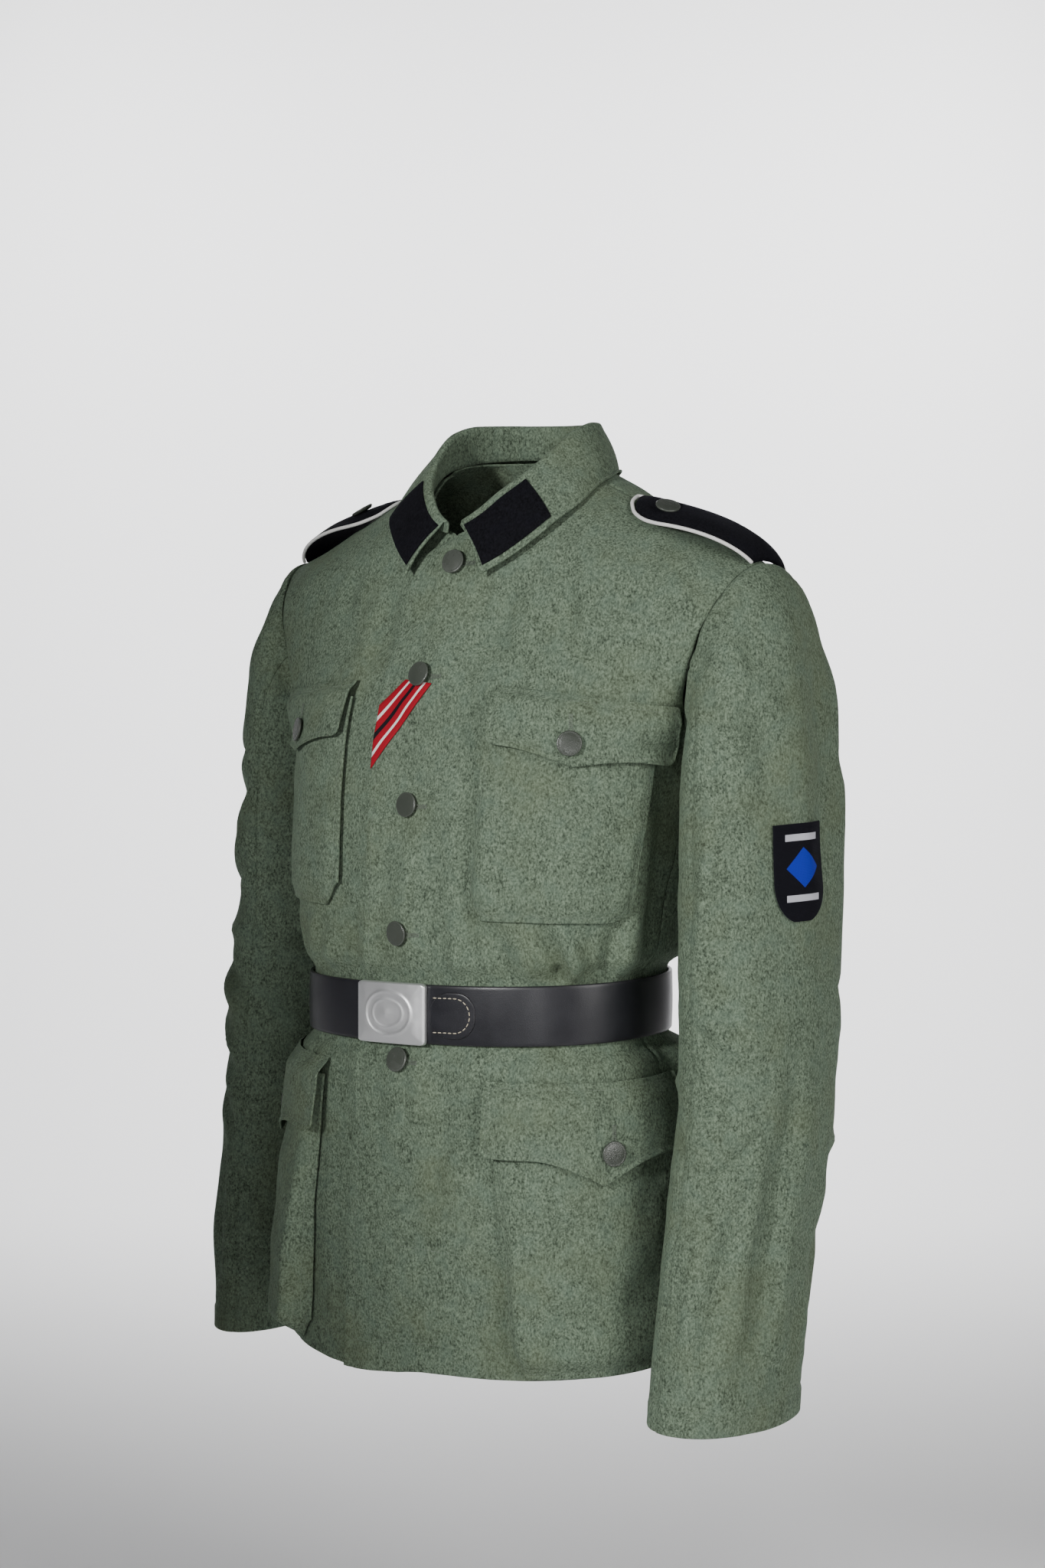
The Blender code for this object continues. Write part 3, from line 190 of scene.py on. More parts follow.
# Folds that the cloth carries as large forms: both ends as angle from the front and height, half width, size
bodyFolds = (
    (20, -0.352, 27, -0.392, 0.007, 0.0025),
    (36, -0.354, 44, -0.392, 0.008, -0.0035),
    (56, -0.352, 60, -0.392, 0.009, 0.0035),
    (88, -0.290, 80, -0.386, 0.011, -0.0040),
    (-32, -0.354, -38, -0.392, 0.008, 0.0030),
    (-52, -0.354, -50, -0.392, 0.009, -0.0035),
    (-88, -0.290, -80, -0.386, 0.011, 0.0035),
    (100, -0.300, 106, -0.386, 0.014, 0.0040),
    (128, -0.280, 124, -0.386, 0.014, -0.0045),
    (150, -0.290, 148, -0.386, 0.014, 0.0045),
    (174, -0.270, 172, -0.386, 0.014, -0.0045),
    (-104, -0.300, -108, -0.386, 0.014, -0.0040),
    (-128, -0.280, -126, -0.386, 0.014, 0.0045),
    (-152, -0.290, -150, -0.386, 0.014, -0.0045),
    (100, -0.440, 98, -0.560, 0.015, 0.0045),
    (125, -0.440, 128, -0.600, 0.016, -0.0050),
    (150, -0.440, 154, -0.560, 0.016, 0.0045),
    (176, -0.440, 178, -0.620, 0.016, -0.0040),
    (-100, -0.440, -98, -0.560, 0.015, -0.0045),
    (-125, -0.440, -128, -0.590, 0.016, 0.0050),
    (-150, -0.440, -153, -0.560, 0.016, -0.0045),
    (46, -0.090, 28, -0.148, 0.012, -0.0030),
    (-46, -0.092, -28, -0.150, 0.013, -0.0030),
    (140, -0.130, 112, -0.200, 0.015, -0.0040),
    (-140, -0.135, -112, -0.200, 0.015, -0.0040),
)

# Creases: both ends as angle and height, half width, size, and how far the line bows sideways
bodyCreases = (
    (64, -0.072, 60, -0.128, 0.0045, -0.0022, 0.003),
    (66, -0.070, 63, -0.120, 0.0060, 0.0012, 0.003),
    (84, -0.075, 83, -0.094, 0.0040, -0.0014, 0.001),
    (50, -0.085, 42, -0.150, 0.0110, 0.0016, 0.004),
    (74, -0.110, 68, -0.160, 0.0120, 0.0014, -0.003),
    (30, -0.090, 20, -0.180, 0.0140, -0.0012, 0.004),
    (24, -0.190, 26, -0.330, 0.0080, -0.0016, 0.002),
    (31, -0.230, 29, -0.345, 0.0060, -0.0018, -0.002),
    (8, -0.110, 6, -0.240, 0.0120, 0.0009, 0.003),
    (14, -0.260, 12, -0.385, 0.0100, -0.0012, 0.002),
    (2, -0.270, 4, -0.385, 0.0080, 0.0010, 0.001),
    (21, -0.330, 24, -0.390, 0.0060, 0.0016, 0.002),
    (36, -0.346, 40, -0.392, 0.0060, -0.0020, 0.002),
    (44, -0.345, 48, -0.392, 0.0060, 0.0018, 0.001),
    (49, -0.338, 56, -0.394, 0.0042, -0.0038, 0.002),
    (55, -0.345, 60, -0.392, 0.0060, 0.0026, 0.001),
    (62, -0.345, 62, -0.394, 0.0020, -0.0014, 0.0),
    (62, -0.434, 62, -0.462, 0.0020, -0.0012, 0.0),
    (68, -0.335, 67, -0.392, 0.0070, -0.0026, 0.002),
    (74, -0.330, 73, -0.390, 0.0080, 0.0022, 0.001),
    (82, -0.230, 80, -0.360, 0.0080, -0.0024, 0.002),
    (-6, -0.280, -8, -0.390, 0.0090, -0.0012, -0.002),
    (-20, -0.330, -24, -0.390, 0.0070, -0.0018, 0.002),
    (-40, -0.342, -44, -0.390, 0.0060, 0.0024, -0.002),
    (-60, -0.340, -58, -0.390, 0.0070, -0.0024, 0.001),
    (-72, -0.330, -70, -0.390, 0.0070, 0.0020, 0.001),
    (-64, -0.075, -60, -0.125, 0.0050, -0.0018, -0.003),
    (-50, -0.090, -40, -0.150, 0.0110, 0.0014, -0.004),
    (8, -0.436, 6, -0.500, 0.0060, 0.0012, 0.001),
    (18, -0.436, 15, -0.560, 0.0080, -0.0016, 0.003),
    (30, -0.436, 27, -0.540, 0.0080, 0.0015, -0.002),
    (40, -0.436, 41, -0.462, 0.0050, -0.0018, 0.001),
    (52, -0.436, 52, -0.460, 0.0060, 0.0014, 0.001),
    (88, -0.436, 92, -0.560, 0.0100, -0.0030, 0.003),
    (-10, -0.436, -9, -0.520, 0.0080, -0.0014, 0.002),
    (-24, -0.436, -22, -0.480, 0.0070, 0.0016, 0.002),
    (-44, -0.436, -46, -0.470, 0.0060, -0.0016, 0.001),
    (-88, -0.436, -92, -0.560, 0.0100, -0.0030, -0.003),
    (112, -0.330, 116, -0.390, 0.0070, -0.0024, 0.002),
    (138, -0.335, 136, -0.390, 0.0070, 0.0022, 0.002),
    (162, -0.330, 160, -0.390, 0.0080, -0.0022, 0.001),
    (-116, -0.335, -118, -0.390, 0.0070, 0.0022, 0.002),
    (-140, -0.330, -138, -0.390, 0.0070, -0.0024, 0.002),
    (-164, -0.335, -162, -0.390, 0.0080, 0.0020, 0.001),
    (112, -0.436, 114, -0.520, 0.0080, -0.0024, 0.002),
    (138, -0.436, 140, -0.530, 0.0080, 0.0022, 0.002),
    (164, -0.436, 166, -0.520, 0.0080, -0.0022, 0.001),
    (-112, -0.436, -112, -0.530, 0.0080, 0.0024, 0.002),
    (-138, -0.436, -140, -0.520, 0.0080, -0.0022, 0.002),
    (-164, -0.436, -166, -0.540, 0.0080, 0.0022, 0.001),
    (150, -0.090, 120, -0.150, 0.0110, -0.0022, 0.004),
    (128, -0.120, 106, -0.170, 0.0100, 0.0018, 0.004),
    (-150, -0.090, -120, -0.150, 0.0110, -0.0022, -0.004),
    (-128, -0.120, -106, -0.170, 0.0100, 0.0018, -0.004),
    (170, -0.110, 160, -0.220, 0.0160, 0.0014, 0.004),
    (-166, -0.130, -172, -0.240, 0.0160, -0.0014, 0.004),
)


def foldDepth(angle, height, radius, folds):
    place = np.stack((np.radians(angle) * radius, height), axis=-1)
    depth = np.zeros(np.shape(height))
    for startAngle, startHeight, endAngle, endHeight, halfWidth, size in folds:
        start = np.array((math.radians(startAngle) * radius, startHeight))
        end = np.array((math.radians(endAngle) * radius, endHeight))
        along = end - start
        share = np.clip(((place - start) @ along) / (along @ along), 0.0, 1.0)
        away = np.linalg.norm(place - start - share[..., None] * along, axis=-1)
        ends = np.sqrt(np.clip(np.sin(math.pi * np.clip(share, 0.03, 0.97)), 0.0, 1.0))
        depth = depth + size * ends * np.exp(-((away / halfWidth) ** 2))
    return depth


# a narrow trough or ridge with a soft shoulder beside it
def creaseDepth(angle, height, radius, creases, uneven):
    flat = np.stack((np.radians(angle) * radius, height), axis=-1)
    depth = np.zeros(np.shape(height))
    for startAngle, startHeight, endAngle, endHeight, halfWidth, size, bow in creases:
        start = np.array((math.radians(startAngle) * radius, startHeight))
        end = np.array((math.radians(endAngle) * radius, endHeight))
        length = np.linalg.norm(end - start)
        along = (end - start) / length
        across = np.array((-along[1], along[0]))
        run = ((flat - start) @ along) / length
        side = (flat - start) @ across - bow * np.sin(math.pi * np.clip(run, 0, 1))
        side = side + halfWidth * 0.35 * uneven
        inside = smoothStep((run + 0.12) / 0.34) * smoothStep((1.12 - run) / 0.34)
        shape = np.exp(-(np.abs(side / halfWidth) ** 1.6))
        shoulder = np.exp(-(((side - 1.9 * halfWidth) / (1.3 * halfWidth)) ** 2))
        shoulder = shoulder + 0.6 * np.exp(-(((side + 2.0 * halfWidth) / (1.4 * halfWidth)) ** 2))
        depth = depth + size * inside * (shape - 0.42 * shoulder) * (1 + 0.3 * uneven)
    return depth * cloth["creaseScale"]


def armholePoint(angle):
    low, high = np.array(body["underarm"]), np.array(body["shoulderEnd"])
    turn = math.radians(angle)
    out = np.array((0.0, -body["armholeHalfDepth"] * math.sin(turn), 0.0))
    return (low + high) / 2 + math.cos(turn) * (high - low) / 2 + out


def onEllipse(angle, halfWidth, front, back):
    turn = np.radians(angle)
    middle = body["neckMiddle"]
    reach = np.where(np.cos(turn) > 0, middle - front, back - middle)
    return halfWidth * np.sin(turn), middle - reach * np.cos(turn)


def neckPoint(angle):
    x, y = onEllipse(angle, body["neckHalfWidth"], body["neckFront"], body["neckBack"])
    return np.stack((x, y, curveAt(body["neckHeights"], angle)), axis=-1)


def torsoRows(upperRows, depthColumn):
    rows = []
    for section in body["sections"]:
        height, halfWidth, roundness = section[0], section[1], section[4]
        sideHeight = height + body["hemRise"] * (section is body["sections"][0])
        rows.append((0.0, section[depthColumn], height, halfWidth, section[5], sideHeight, roundness))
    for start, armholeAngle, roundness in upperRows:
        start = start if isinstance(start, tuple) else tuple(neckPoint(float(start)))
        rows.append((*start, *armholePoint(armholeAngle), roundness))
    return np.array(rows)


frontTable = torsoRows(body["frontRows"], 2)
backTable = torsoRows(body["backRows"], 3)
sideSeam = np.array([section[5:] for section in body["sections"]])


def rowAt(table, up):
    row = spline(table, up)
    seam = spline(sideSeam, np.minimum(up, body["underarmRow"]))[..., 0]
    row[..., 4] = np.where(up < body["underarmRow"], seam, row[..., 4])
    return row


def torso(across, up):
    across, up = np.broadcast_arrays(np.asarray(across, float), np.asarray(up, float))
    onFront = (up <= body["topRow"])[..., None]
    row = np.where(onFront, rowAt(frontTable, up), rowAt(backTable, 2 * body["topRow"] - up))
    turn = across * math.pi / 2
    power = 2 / row[..., 6]
    out = signedPower(np.sin(turn), power)
    back = signedPower(np.cos(turn), power)
    x = row[..., 0] + (row[..., 3] - row[..., 0]) * out
    y = row[..., 4] + (row[..., 1] - row[..., 4]) * back
    z = row[..., 2] + (row[..., 5] - row[..., 2]) * np.abs(out)
    return np.stack((x, y, z), axis=-1)


def torsoNormal(across, up):
    small = 0.004
    along = torso(across + small, up) - torso(across - small, up)
    rise = torso(across, up + small) - torso(across, up - small)
    return unit(np.cross(along, rise))


def tilted(points):
    near = smoothStep(1 - np.abs(points[..., 2] - body["beltMiddle"]) / body["tiltReach"])
    rise = body["waistTilt"] * (points[..., 0] - body["tiltFrom"]) * near
    low = smoothStep((body["hemDropTop"] - points[..., 2]) / body["hemDropFade"])
    rise = rise - body["hemDrop"] * low * smoothStep(
        (body["hemDropFrom"] - points[..., 0]) / body["hemDropWidth"]
    )
    return points + rise[..., None] * np.array((0.0, 0.0, 1.0))


def bodyCloth(across, up, side, creased=True):  # outer face and normals, side 1 for the wearer's left half
    points = torso(across, up)
    normals = torsoNormal(across, up)
    flip = np.array((side, 1.0, 1.0))
    angle = side * np.degrees(np.arctan2(points[..., 0], body["axisY"] - points[..., 1]))
    depth = foldDepth(angle, points[..., 2], body["radius"], bodyFolds)
    fromBelt = np.abs(points[..., 2] - body["beltMiddle"]) - body["beltHeight"] / 2
    depth = depth * smoothStep(fromBelt / body["beltFade"] - body["beltPress"])
    if creased:
        world = points * flip
        uneven = softNoise(world, 0.022)
        fine = creaseDepth(angle, points[..., 2], body["radius"], bodyCreases, uneven)
        free = smoothStep((fromBelt + 0.002) / 0.010)
        ripple = body["ripple"] * (
            1.4 * softNoise(world, 0.052) + softNoise(world, 0.027) + 0.35 * softNoise(world, 0.012)
        )
        depth = depth + (fine + ripple) * free
    points = points + depth[..., None] * normals
    return tilted(points * flip), normals * flip


# Meshes
pieces = bpy.data.collections.new("fieldTunic")
bpy.context.scene.collection.children.link(pieces)


def addMesh(name, vertices, faces, material):
    mesh = bpy.data.meshes.new(name)
    mesh.from_pydata(np.asarray(vertices, float).tolist(), [], [tuple(face) for face in faces])
    mesh.validate()
    mesh.shade_smooth()
    mesh.materials.append(material)
    piece = bpy.data.objects.new(name, mesh)
    pieces.objects.link(piece)
    return piece


def facingOut(vertices, faces):
    first, second, third, fourth = (vertices[faces[:, number]] for number in range(4))
    volume = (first * np.cross(second, third)).sum() + (first * np.cross(third, fourth)).sum()
    return faces if volume > 0 else faces[:, ::-1]


def shell(name, outer, inner, material, keep=None, joined=None):  # a closed wall between two grids of points
    rows, columns = outer.shape[:2]
    index = np.arange(rows * columns).reshape(rows, columns)
    if joined is not None:
        index = joined(index)
    quads = np.stack((index[:-1, :-1], index[:-1, 1:], index[1:, 1:], index[1:, :-1]), axis=-1)
    quads = (quads[keep] if keep is not None else quads).reshape(-1, 4)
    edges = np.concatenate([quads[:, [number, (number + 1) % 4]] for number in range(4)])
    count = rows * columns
    known = set((edges[:, 0] * count + edges[:, 1]).tolist())
    gape = np.array([edge for edge in edges.tolist() if edge[1] * count + edge[0] not in known])
    rim = np.stack((gape[:, 1], gape[:, 0], gape[:, 0] + count, gape[:, 1] + count), axis=-1)
    faces = np.concatenate((quads, quads[:, ::-1] + count, rim))
    vertices = np.concatenate((outer.reshape(-1, 3), inner.reshape(-1, 3)))
    used, faces = np.unique(faces, return_inverse=True)
    faces = faces.reshape(-1, 4)
    vertices = vertices[used]
    return addMesh(name, vertices, facingOut(vertices, faces), material)


stitchLines = []  # points and normals of every row of machine stitches


def stitchAlong(points, normals, route):  # route is a list of row and column numbers of a grid
    rows, columns = np.array(route).T
    stitchLines.append((points[rows, columns], normals[rows, columns]))


def stitchBorder(points, normals, inset, top=False):  # round three or four sides of a grid, inset points in
    last, end = points.shape[0] - 1 - inset, points.shape[1] - 1 - inset
    start = inset if top else 0
    route = [(row, inset) for row in range(start, last)] + [(last, column) for column in range(inset, end)]
    route += [(row, end) for row in range(last, start - 1, -1)]
    if top:
        route += [(inset, column) for column in range(end, inset - 1, -1)]
    stitchAlong(points, normals, route)


def edgeSpaced(length, step):  # distances from 0 to length, closer together at both ends
    near = np.array((0.0, 0.0004, 0.0009, 0.0017, 0.0030, 0.0048))
    near = near[near < length / 4]
    middle = np.linspace(near[-1], length - near[-1], max(2, int((length - 2 * near[-1]) / step) + 2))
    return np.concatenate((near[:-1], middle, length - near[-2::-1]))


def lengths(points, axis):  # distance from the first point along a grid's rows or columns
    step = np.linalg.norm(np.diff(points, axis=axis), axis=-1)
    zero = np.zeros_like(np.take(step, [0], axis=axis))
    return np.concatenate((zero, np.cumsum(step, axis=axis)), axis=axis)


def rolled(distance):  # how far a free edge's two faces lie in from the wall's own, as the edge is round
    share = np.clip(distance / cloth["edgeRound"], 0, 1)
    return 0.5 * (1 - np.sqrt(1 - (1 - share) ** 2))


def ditch(distance, depth=cloth["seamDepth"], width=cloth["seamWidth"]):
    return -depth * np.exp(-((distance / width) ** 2))


# a turned edge, fuller up to the row of stitches that holds it
def stitchedEdge(distance, turn, thick=0.0008):
    full = thick * smoothStep((turn - distance) / 0.003)
    return full + ditch(distance - turn, cloth["stitchDepth"], 0.0011)


def evenRows(atAcross, snap):  # row values up a panel, evenly spaced along the cloth
    top = body["topRow"] - body["seamRowShare"]
    fine = np.linspace(0, top, 3000)
    line = lengths(torso(atAcross, fine), 0)
    rows = np.interp(edgeSpaced(line[-1], cloth["step"]), line, fine)
    rows[np.abs(rows - snap).argmin()] = snap
    return rows


def evenColumns(atUp):
    end = 1 - body["seamShare"]
    fine = np.linspace(0, end, 2000)
    line = lengths(torso(fine, atUp), 0)
    return np.interp(edgeSpaced(line[-1], cloth["step"]), line, fine)


def addFront(side):
    rows = evenRows(0.45, body["throatRow"])
    throat = int(np.abs(rows - body["throatRow"]).argmin())
    table = spline(frontTable, rows)
    past = curveAt(body["frontEdge"], table[:, 2]) if side > 0 else np.full(len(rows), body["overlapUnder"])
    edge = -np.arcsin((past / table[:, 3]) ** (table[:, 6] / 2)) / (math.pi / 2)
    strip = edgeSpaced(0.045, cloth["step"])[::-1] / -0.045
    strip = strip[:-3]
    columns = np.concatenate((strip[:-1], evenColumns(9.0)))
    across = np.where(columns < 0, -columns * edge[:, None], columns)
    first = int((columns < 0).sum())
    points, normals = bodyCloth(across, rows[:, None], side)
    fromStart = lengths(points, 1)
    fromEnd = fromStart[:, -1:] - fromStart
    fromHem = lengths(points, 0)
    fromTop = fromHem[-1:] - fromHem
    fromNeck = fromStart - fromStart[:, first : first + 1]
    above = np.arange(len(rows))[:, None] >= throat
    freeEdge = np.where(above, np.maximum(fromNeck, 0), fromStart)
    stripTop = np.where(columns[None, :] < 0, np.abs(fromHem - fromHem[throat]), 1.0)
    raised = ditch(fromEnd) + ditch(fromTop)
    raised = raised + stitchedEdge(fromHem, body["hemTurn"], 0.0006)
    raised = raised + np.where(
        above, 0.0, stitchedEdge(fromStart, body["frontTurn"], 0.0005 if side > 0 else 0.0)
    )
    free = np.minimum(np.minimum(freeEdge, fromHem), stripTop)
    roll = rolled(free) * cloth["wall"]
    if side < 0:
        covered = smoothStep((points[..., 0] + body["coverEnd"]) / (body["coverEnd"] - body["coverStart"]))
        points = points - normals * ((cloth["wall"] + 2 * cloth["gap"]) * covered)[..., None]
        raised = np.minimum(raised, 0.0)
    outer = points + normals * (raised - roll)[..., None]
    inner = points - normals * (cloth["wall"] - roll)[..., None]
    hem = int(np.abs(fromHem[:, first] - body["hemTurn"]).argmin())
    turn = int(np.abs(fromStart[hem] - body["frontTurn"]).argmin())
    stitchAlong(outer, normals, [(hem, column) for column in range(turn, len(columns))])
    if side > 0:
        stitchAlong(outer, normals, [(row, turn) for row in range(hem, throat - 1)])
    keep = np.ones((len(rows) - 1, len(columns) - 1), bool)
    keep[throat:, :first] = False
    return shell("frontLeft" if side > 0 else "frontRight", outer, inner, wool, keep)


def addBack():
    rows = evenRows(0.45, body["neckRow"])
    neckRow = int(np.abs(rows - body["neckRow"]).argmin())
    columns = evenColumns(9.0)[4:]
    columns = np.concatenate(((0.0,), columns))
    up = 2 * body["topRow"] - rows[:, None]
    left, leftNormals = bodyCloth(columns, up, 1)
    right, rightNormals = bodyCloth(columns, up, -1)
    points = np.concatenate((right[:, ::-1], left), axis=1)
    normals = np.concatenate((rightNormals[:, ::-1], leftNormals), axis=1)
    middle = len(columns) - 1
    fromStart = lengths(points, 1)
    fromEnd = fromStart[:, -1:] - fromStart
    fromHem = lengths(points, 0)
    fromTop = fromHem[-1:] - fromHem
    above = np.arange(len(rows))[:, None] > neckRow
    fromNeck = np.abs(fromStart - fromStart[:, middle : middle + 1])
    fromNeck = np.minimum(fromNeck, np.abs(fromStart - fromStart[:, middle + 1 : middle + 2]))
    raised = ditch(fromStart) + ditch(fromEnd) + ditch(fromTop)
    raised = raised + stitchedEdge(fromHem, body["hemTurn"], 0.0006)
    raised = raised + np.where(above, 0.0, ditch(fromNeck))  # the centre seam
    roll = rolled(np.minimum(fromHem, np.where(above, fromNeck, 1.0))) * cloth["wall"]
    outer = points + normals * (raised - roll)[..., None]
    inner = points - normals * (cloth["wall"] - roll)[..., None]
    hem = int(np.abs(fromHem[:, middle] - body["hemTurn"]).argmin())
    stitchAlong(outer, normals, [(hem, column) for column in range(points.shape[1])])
    keep = np.ones((len(rows) - 1, points.shape[1] - 1), bool)
    keep[:, middle] = False

    def joined(index):  # below the neck both halves share the middle line
        index = index.copy()
        index[: neckRow + 1, middle] = index[: neckRow + 1, middle + 1]
        return index

    return shell("backCloth", outer, inner, wool, keep, joined)


# Sleeves
sleeves = {
    # inner x, inner z, outer x, outer z, middle y, half depth, turn of the section in degrees
    "sections": (
        (0.177, -0.210, 0.223, -0.072, 0.000, 0.060, 0),
        (0.179, -0.213, 0.235, -0.080, 0.000, 0.063, 0),
        (0.181, -0.217, 0.245, -0.100, -0.001, 0.068, 0),
        (0.182, -0.222, 0.255, -0.142, -0.002, 0.074, 0),
        (0.182, -0.232, 0.265, -0.210, -0.004, 0.077, 2),
        (0.181, -0.290, 0.270, -0.280, -0.005, 0.078, 3),
        (0.181, -0.350, 0.274, -0.345, -0.007, 0.078, 4),
        (0.187, -0.420, 0.278, -0.418, -0.014, 0.074, 5),
        (0.190, -0.485, 0.278, -0.482, -0.022, 0.072, 6),
        (0.190, -0.545, 0.276, -0.542, -0.031, 0.070, 8),
        (0.190, -0.600, 0.273, -0.598, -0.040, 0.069, 9),
        (0.189, -0.655, 0.270, -0.655, -0.048, 0.068, 10),
        (0.188, -0.700, 0.268, -0.703, -0.052, 0.067, 10),
    ),
    "headRows": 3,
    "narrower": {1: 0.0, -1: 0.007},
    "frontSeam": 96,
    "backSeam": -112,
    "radius": 0.056,
    "cuffTurn": 0.020,  # where the cuff is stitched
    "ripple": 0.0009,
    "folds": {
        1: (
            (60, -0.130, 20, -0.190, 0.011, -0.0035),
            (90, -0.180, 50, -0.250, 0.012, 0.0030),
            (95, -0.395, 30, -0.425, 0.011, -0.0040),
            (100, -0.440, 40, -0.455, 0.011, 0.0045),
            (100, -0.490, 55, -0.470, 0.011, -0.0045),
            (105, -0.560, 40, -0.520, 0.012, 0.0040),
            (-60, -0.400, -110, -0.440, 0.012, 0.0040),
            (-70, -0.470, -120, -0.480, 0.012, -0.0045),
            (-80, -0.540, -30, -0.600, 0.013, 0.0035),
            (20, -0.480, 24, -0.660, 0.012, 0.0025),
            (-60, -0.130, -30, -0.200, 0.013, -0.0035),
        ),
        -1: (
            (60, -0.130, 25, -0.200, 0.012, -0.0035),
            (80, -0.250, 20, -0.285, 0.013, 0.0045),
            (85, -0.290, 25, -0.325, 0.012, -0.0045),
            (95, -0.350, 35, -0.345, 0.012, 0.0040),
            (100, -0.440, 35, -0.415, 0.012, -0.0040),
            (100, -0.500, 40, -0.470, 0.012, 0.0040),
            (-60, -0.390, -110, -0.430, 0.012, 0.0040),
            (-70, -0.460, -120, -0.480, 0.012, -0.0045),
            (-60, -0.130, -30, -0.200, 0.013, -0.0035),
        ),
    },
    "creases": {
        1: (
            (84, -0.112, 76, -0.200, 0.0060, -0.0009, 0.003),
            (40, -0.105, 34, -0.260, 0.0100, -0.0016, 0.004),
            (10, -0.110, 6, -0.330, 0.0110, 0.0014, 0.003),
            (-16, -0.120, -14, -0.380, 0.0100, -0.0014, 0.003),
            (62, -0.260, 66, -0.400, 0.0080, -0.0018, 0.003),
            (76, -0.240, 84, -0.360, 0.0070, 0.0016, 0.002),
            (50, -0.300, 38, -0.420, 0.0110, 0.0014, 0.003),
            (88, -0.410, 50, -0.436, 0.0060, -0.0024, 0.004),
            (86, -0.470, 60, -0.452, 0.0055, 0.0020, 0.003),
            (80, -0.520, 34, -0.488, 0.0060, -0.0028, 0.004),
            (76, -0.545, 40, -0.515, 0.0080, 0.0018, 0.003),
            (10, -0.420, 12, -0.620, 0.0080, -0.0018, 0.003),
            (30, -0.500, 34, -0.660, 0.0080, 0.0018, -0.002),
            (44, -0.540, 50, -0.670, 0.0070, -0.0018, 0.002),
            (66, -0.560, 70, -0.650, 0.0080, 0.0016, 0.002),
            (-4, -0.470, -2, -0.650, 0.0090, 0.0016, 0.002),
            (-40, -0.380, -90, -0.420, 0.0080, -0.0026, 0.004),
            (-50, -0.500, -100, -0.520, 0.0080, 0.0024, 0.004),
            (-40, -0.560, -60, -0.650, 0.0090, -0.0020, 0.003),
            (-50, -0.160, -44, -0.300, 0.0110, 0.0018, 0.004),
            (-80, -0.150, -74, -0.260, 0.0110, -0.0022, 0.004),
            (130, -0.380, 170, -0.400, 0.0080, -0.0024, 0.003),
            (130, -0.450, 176, -0.470, 0.0080, 0.0024, 0.003),
            (140, -0.560, 170, -0.530, 0.0080, -0.0022, 0.003),
        ),
        -1: (
            (84, -0.112, 76, -0.200, 0.0060, -0.0009, 0.003),
            (36, -0.110, 32, -0.240, 0.0100, -0.0016, 0.004),
            (6, -0.110, 4, -0.330, 0.0110, 0.0014, 0.003),
            (70, -0.215, 30, -0.245, 0.0070, -0.0026, 0.004),
            (78, -0.262, 34, -0.300, 0.0070, 0.0022, 0.004),
            (82, -0.310, 40, -0.345, 0.0065, -0.0026, 0.004),
            (84, -0.375, 44, -0.372, 0.0070, 0.0020, 0.003),
            (86, -0.420, 44, -0.398, 0.0065, -0.0026, 0.003),
            (84, -0.480, 40, -0.446, 0.0070, 0.0022, 0.003),
            (84, -0.530, 44, -0.500, 0.0070, -0.0024, 0.003),
            (60, -0.540, 64, -0.660, 0.0080, -0.0018, 0.002),
            (40, -0.560, 44, -0.660, 0.0090, 0.0016, 0.002),
            (-40, -0.380, -90, -0.420, 0.0080, -0.0026, 0.004),
            (-50, -0.500, -100, -0.520, 0.0080, 0.0024, 0.004),
            (-50, -0.160, -44, -0.300, 0.0110, 0.0018, 0.004),
            (-80, -0.150, -74, -0.260, 0.0110, -0.0022, 0.004),
            (130, -0.380, 170, -0.400, 0.0080, -0.0024, 0.003),
            (130, -0.450, 176, -0.470, 0.0080, 0.0024, 0.003),
        ),
    },
}
sleeveRows = len(sleeves["sections"]) - 1


def sleeve(angle, down, side):
    angle, down = np.broadcast_arrays(np.asarray(angle, float), np.asarray(down, float))
    row = spline(sleeves["sections"], down)
    row[..., 2] -= sleeves["narrower"][side] * smoothStep(down / sleeves["headRows"])
    inner = np.stack((row[..., 0], row[..., 4], row[..., 1]), axis=-1)
    outer = np.stack((row[..., 2], row[..., 4], row[..., 3]), axis=-1)
    wide = (outer - inner) / 2
    half = np.linalg.norm(wide, axis=-1, keepdims=True)
    wide = wide / half
    front = np.array((0.0, -1.0, 0.0))
    turn = np.radians(row[..., 6:7])
    first = np.cos(turn) * wide + np.sin(turn) * front
    second = np.cos(turn) * front - np.sin(turn) * wide
    around = np.radians(angle)[..., None]
    return (inner + outer) / 2 + half * np.cos(around) * first + row[..., 5:6] * np.sin(around) * second


def sleeveCloth(angle, down, side, creased=True):
    points = sleeve(angle, down, side)
    small = 0.01
    around = sleeve(angle + 1.0, down, side) - sleeve(angle - 1.0, down, side)
    low, high = np.minimum(down + small, sleeveRows), np.maximum(down - small, 0.0)
    along = sleeve(angle, low, side) - sleeve(angle, high, side)
    normals = unit(np.cross(around, along))
    angle = np.broadcast_to(angle, points.shape[:-1])
    flip = np.array((side, 1.0, 1.0))
    depth = cloth["wall"] - foldDepth(angle, points[..., 2], sleeves["radius"], sleeves["folds"][side])
    if creased:
        world = points * flip
        uneven = softNoise(world, 0.024)
        depth = depth + creaseDepth(
            angle, points[..., 2], sleeves["radius"], sleeves["creases"][side], uneven
        )
        depth = depth + sleeves["ripple"] * (
            1.3 * softNoise(world, 0.052) + softNoise(world, 0.027) + 0.35 * softNoise(world, 0.012)
        )
    points = points + depth[..., None] * normals
    return points * flip, normals * flip


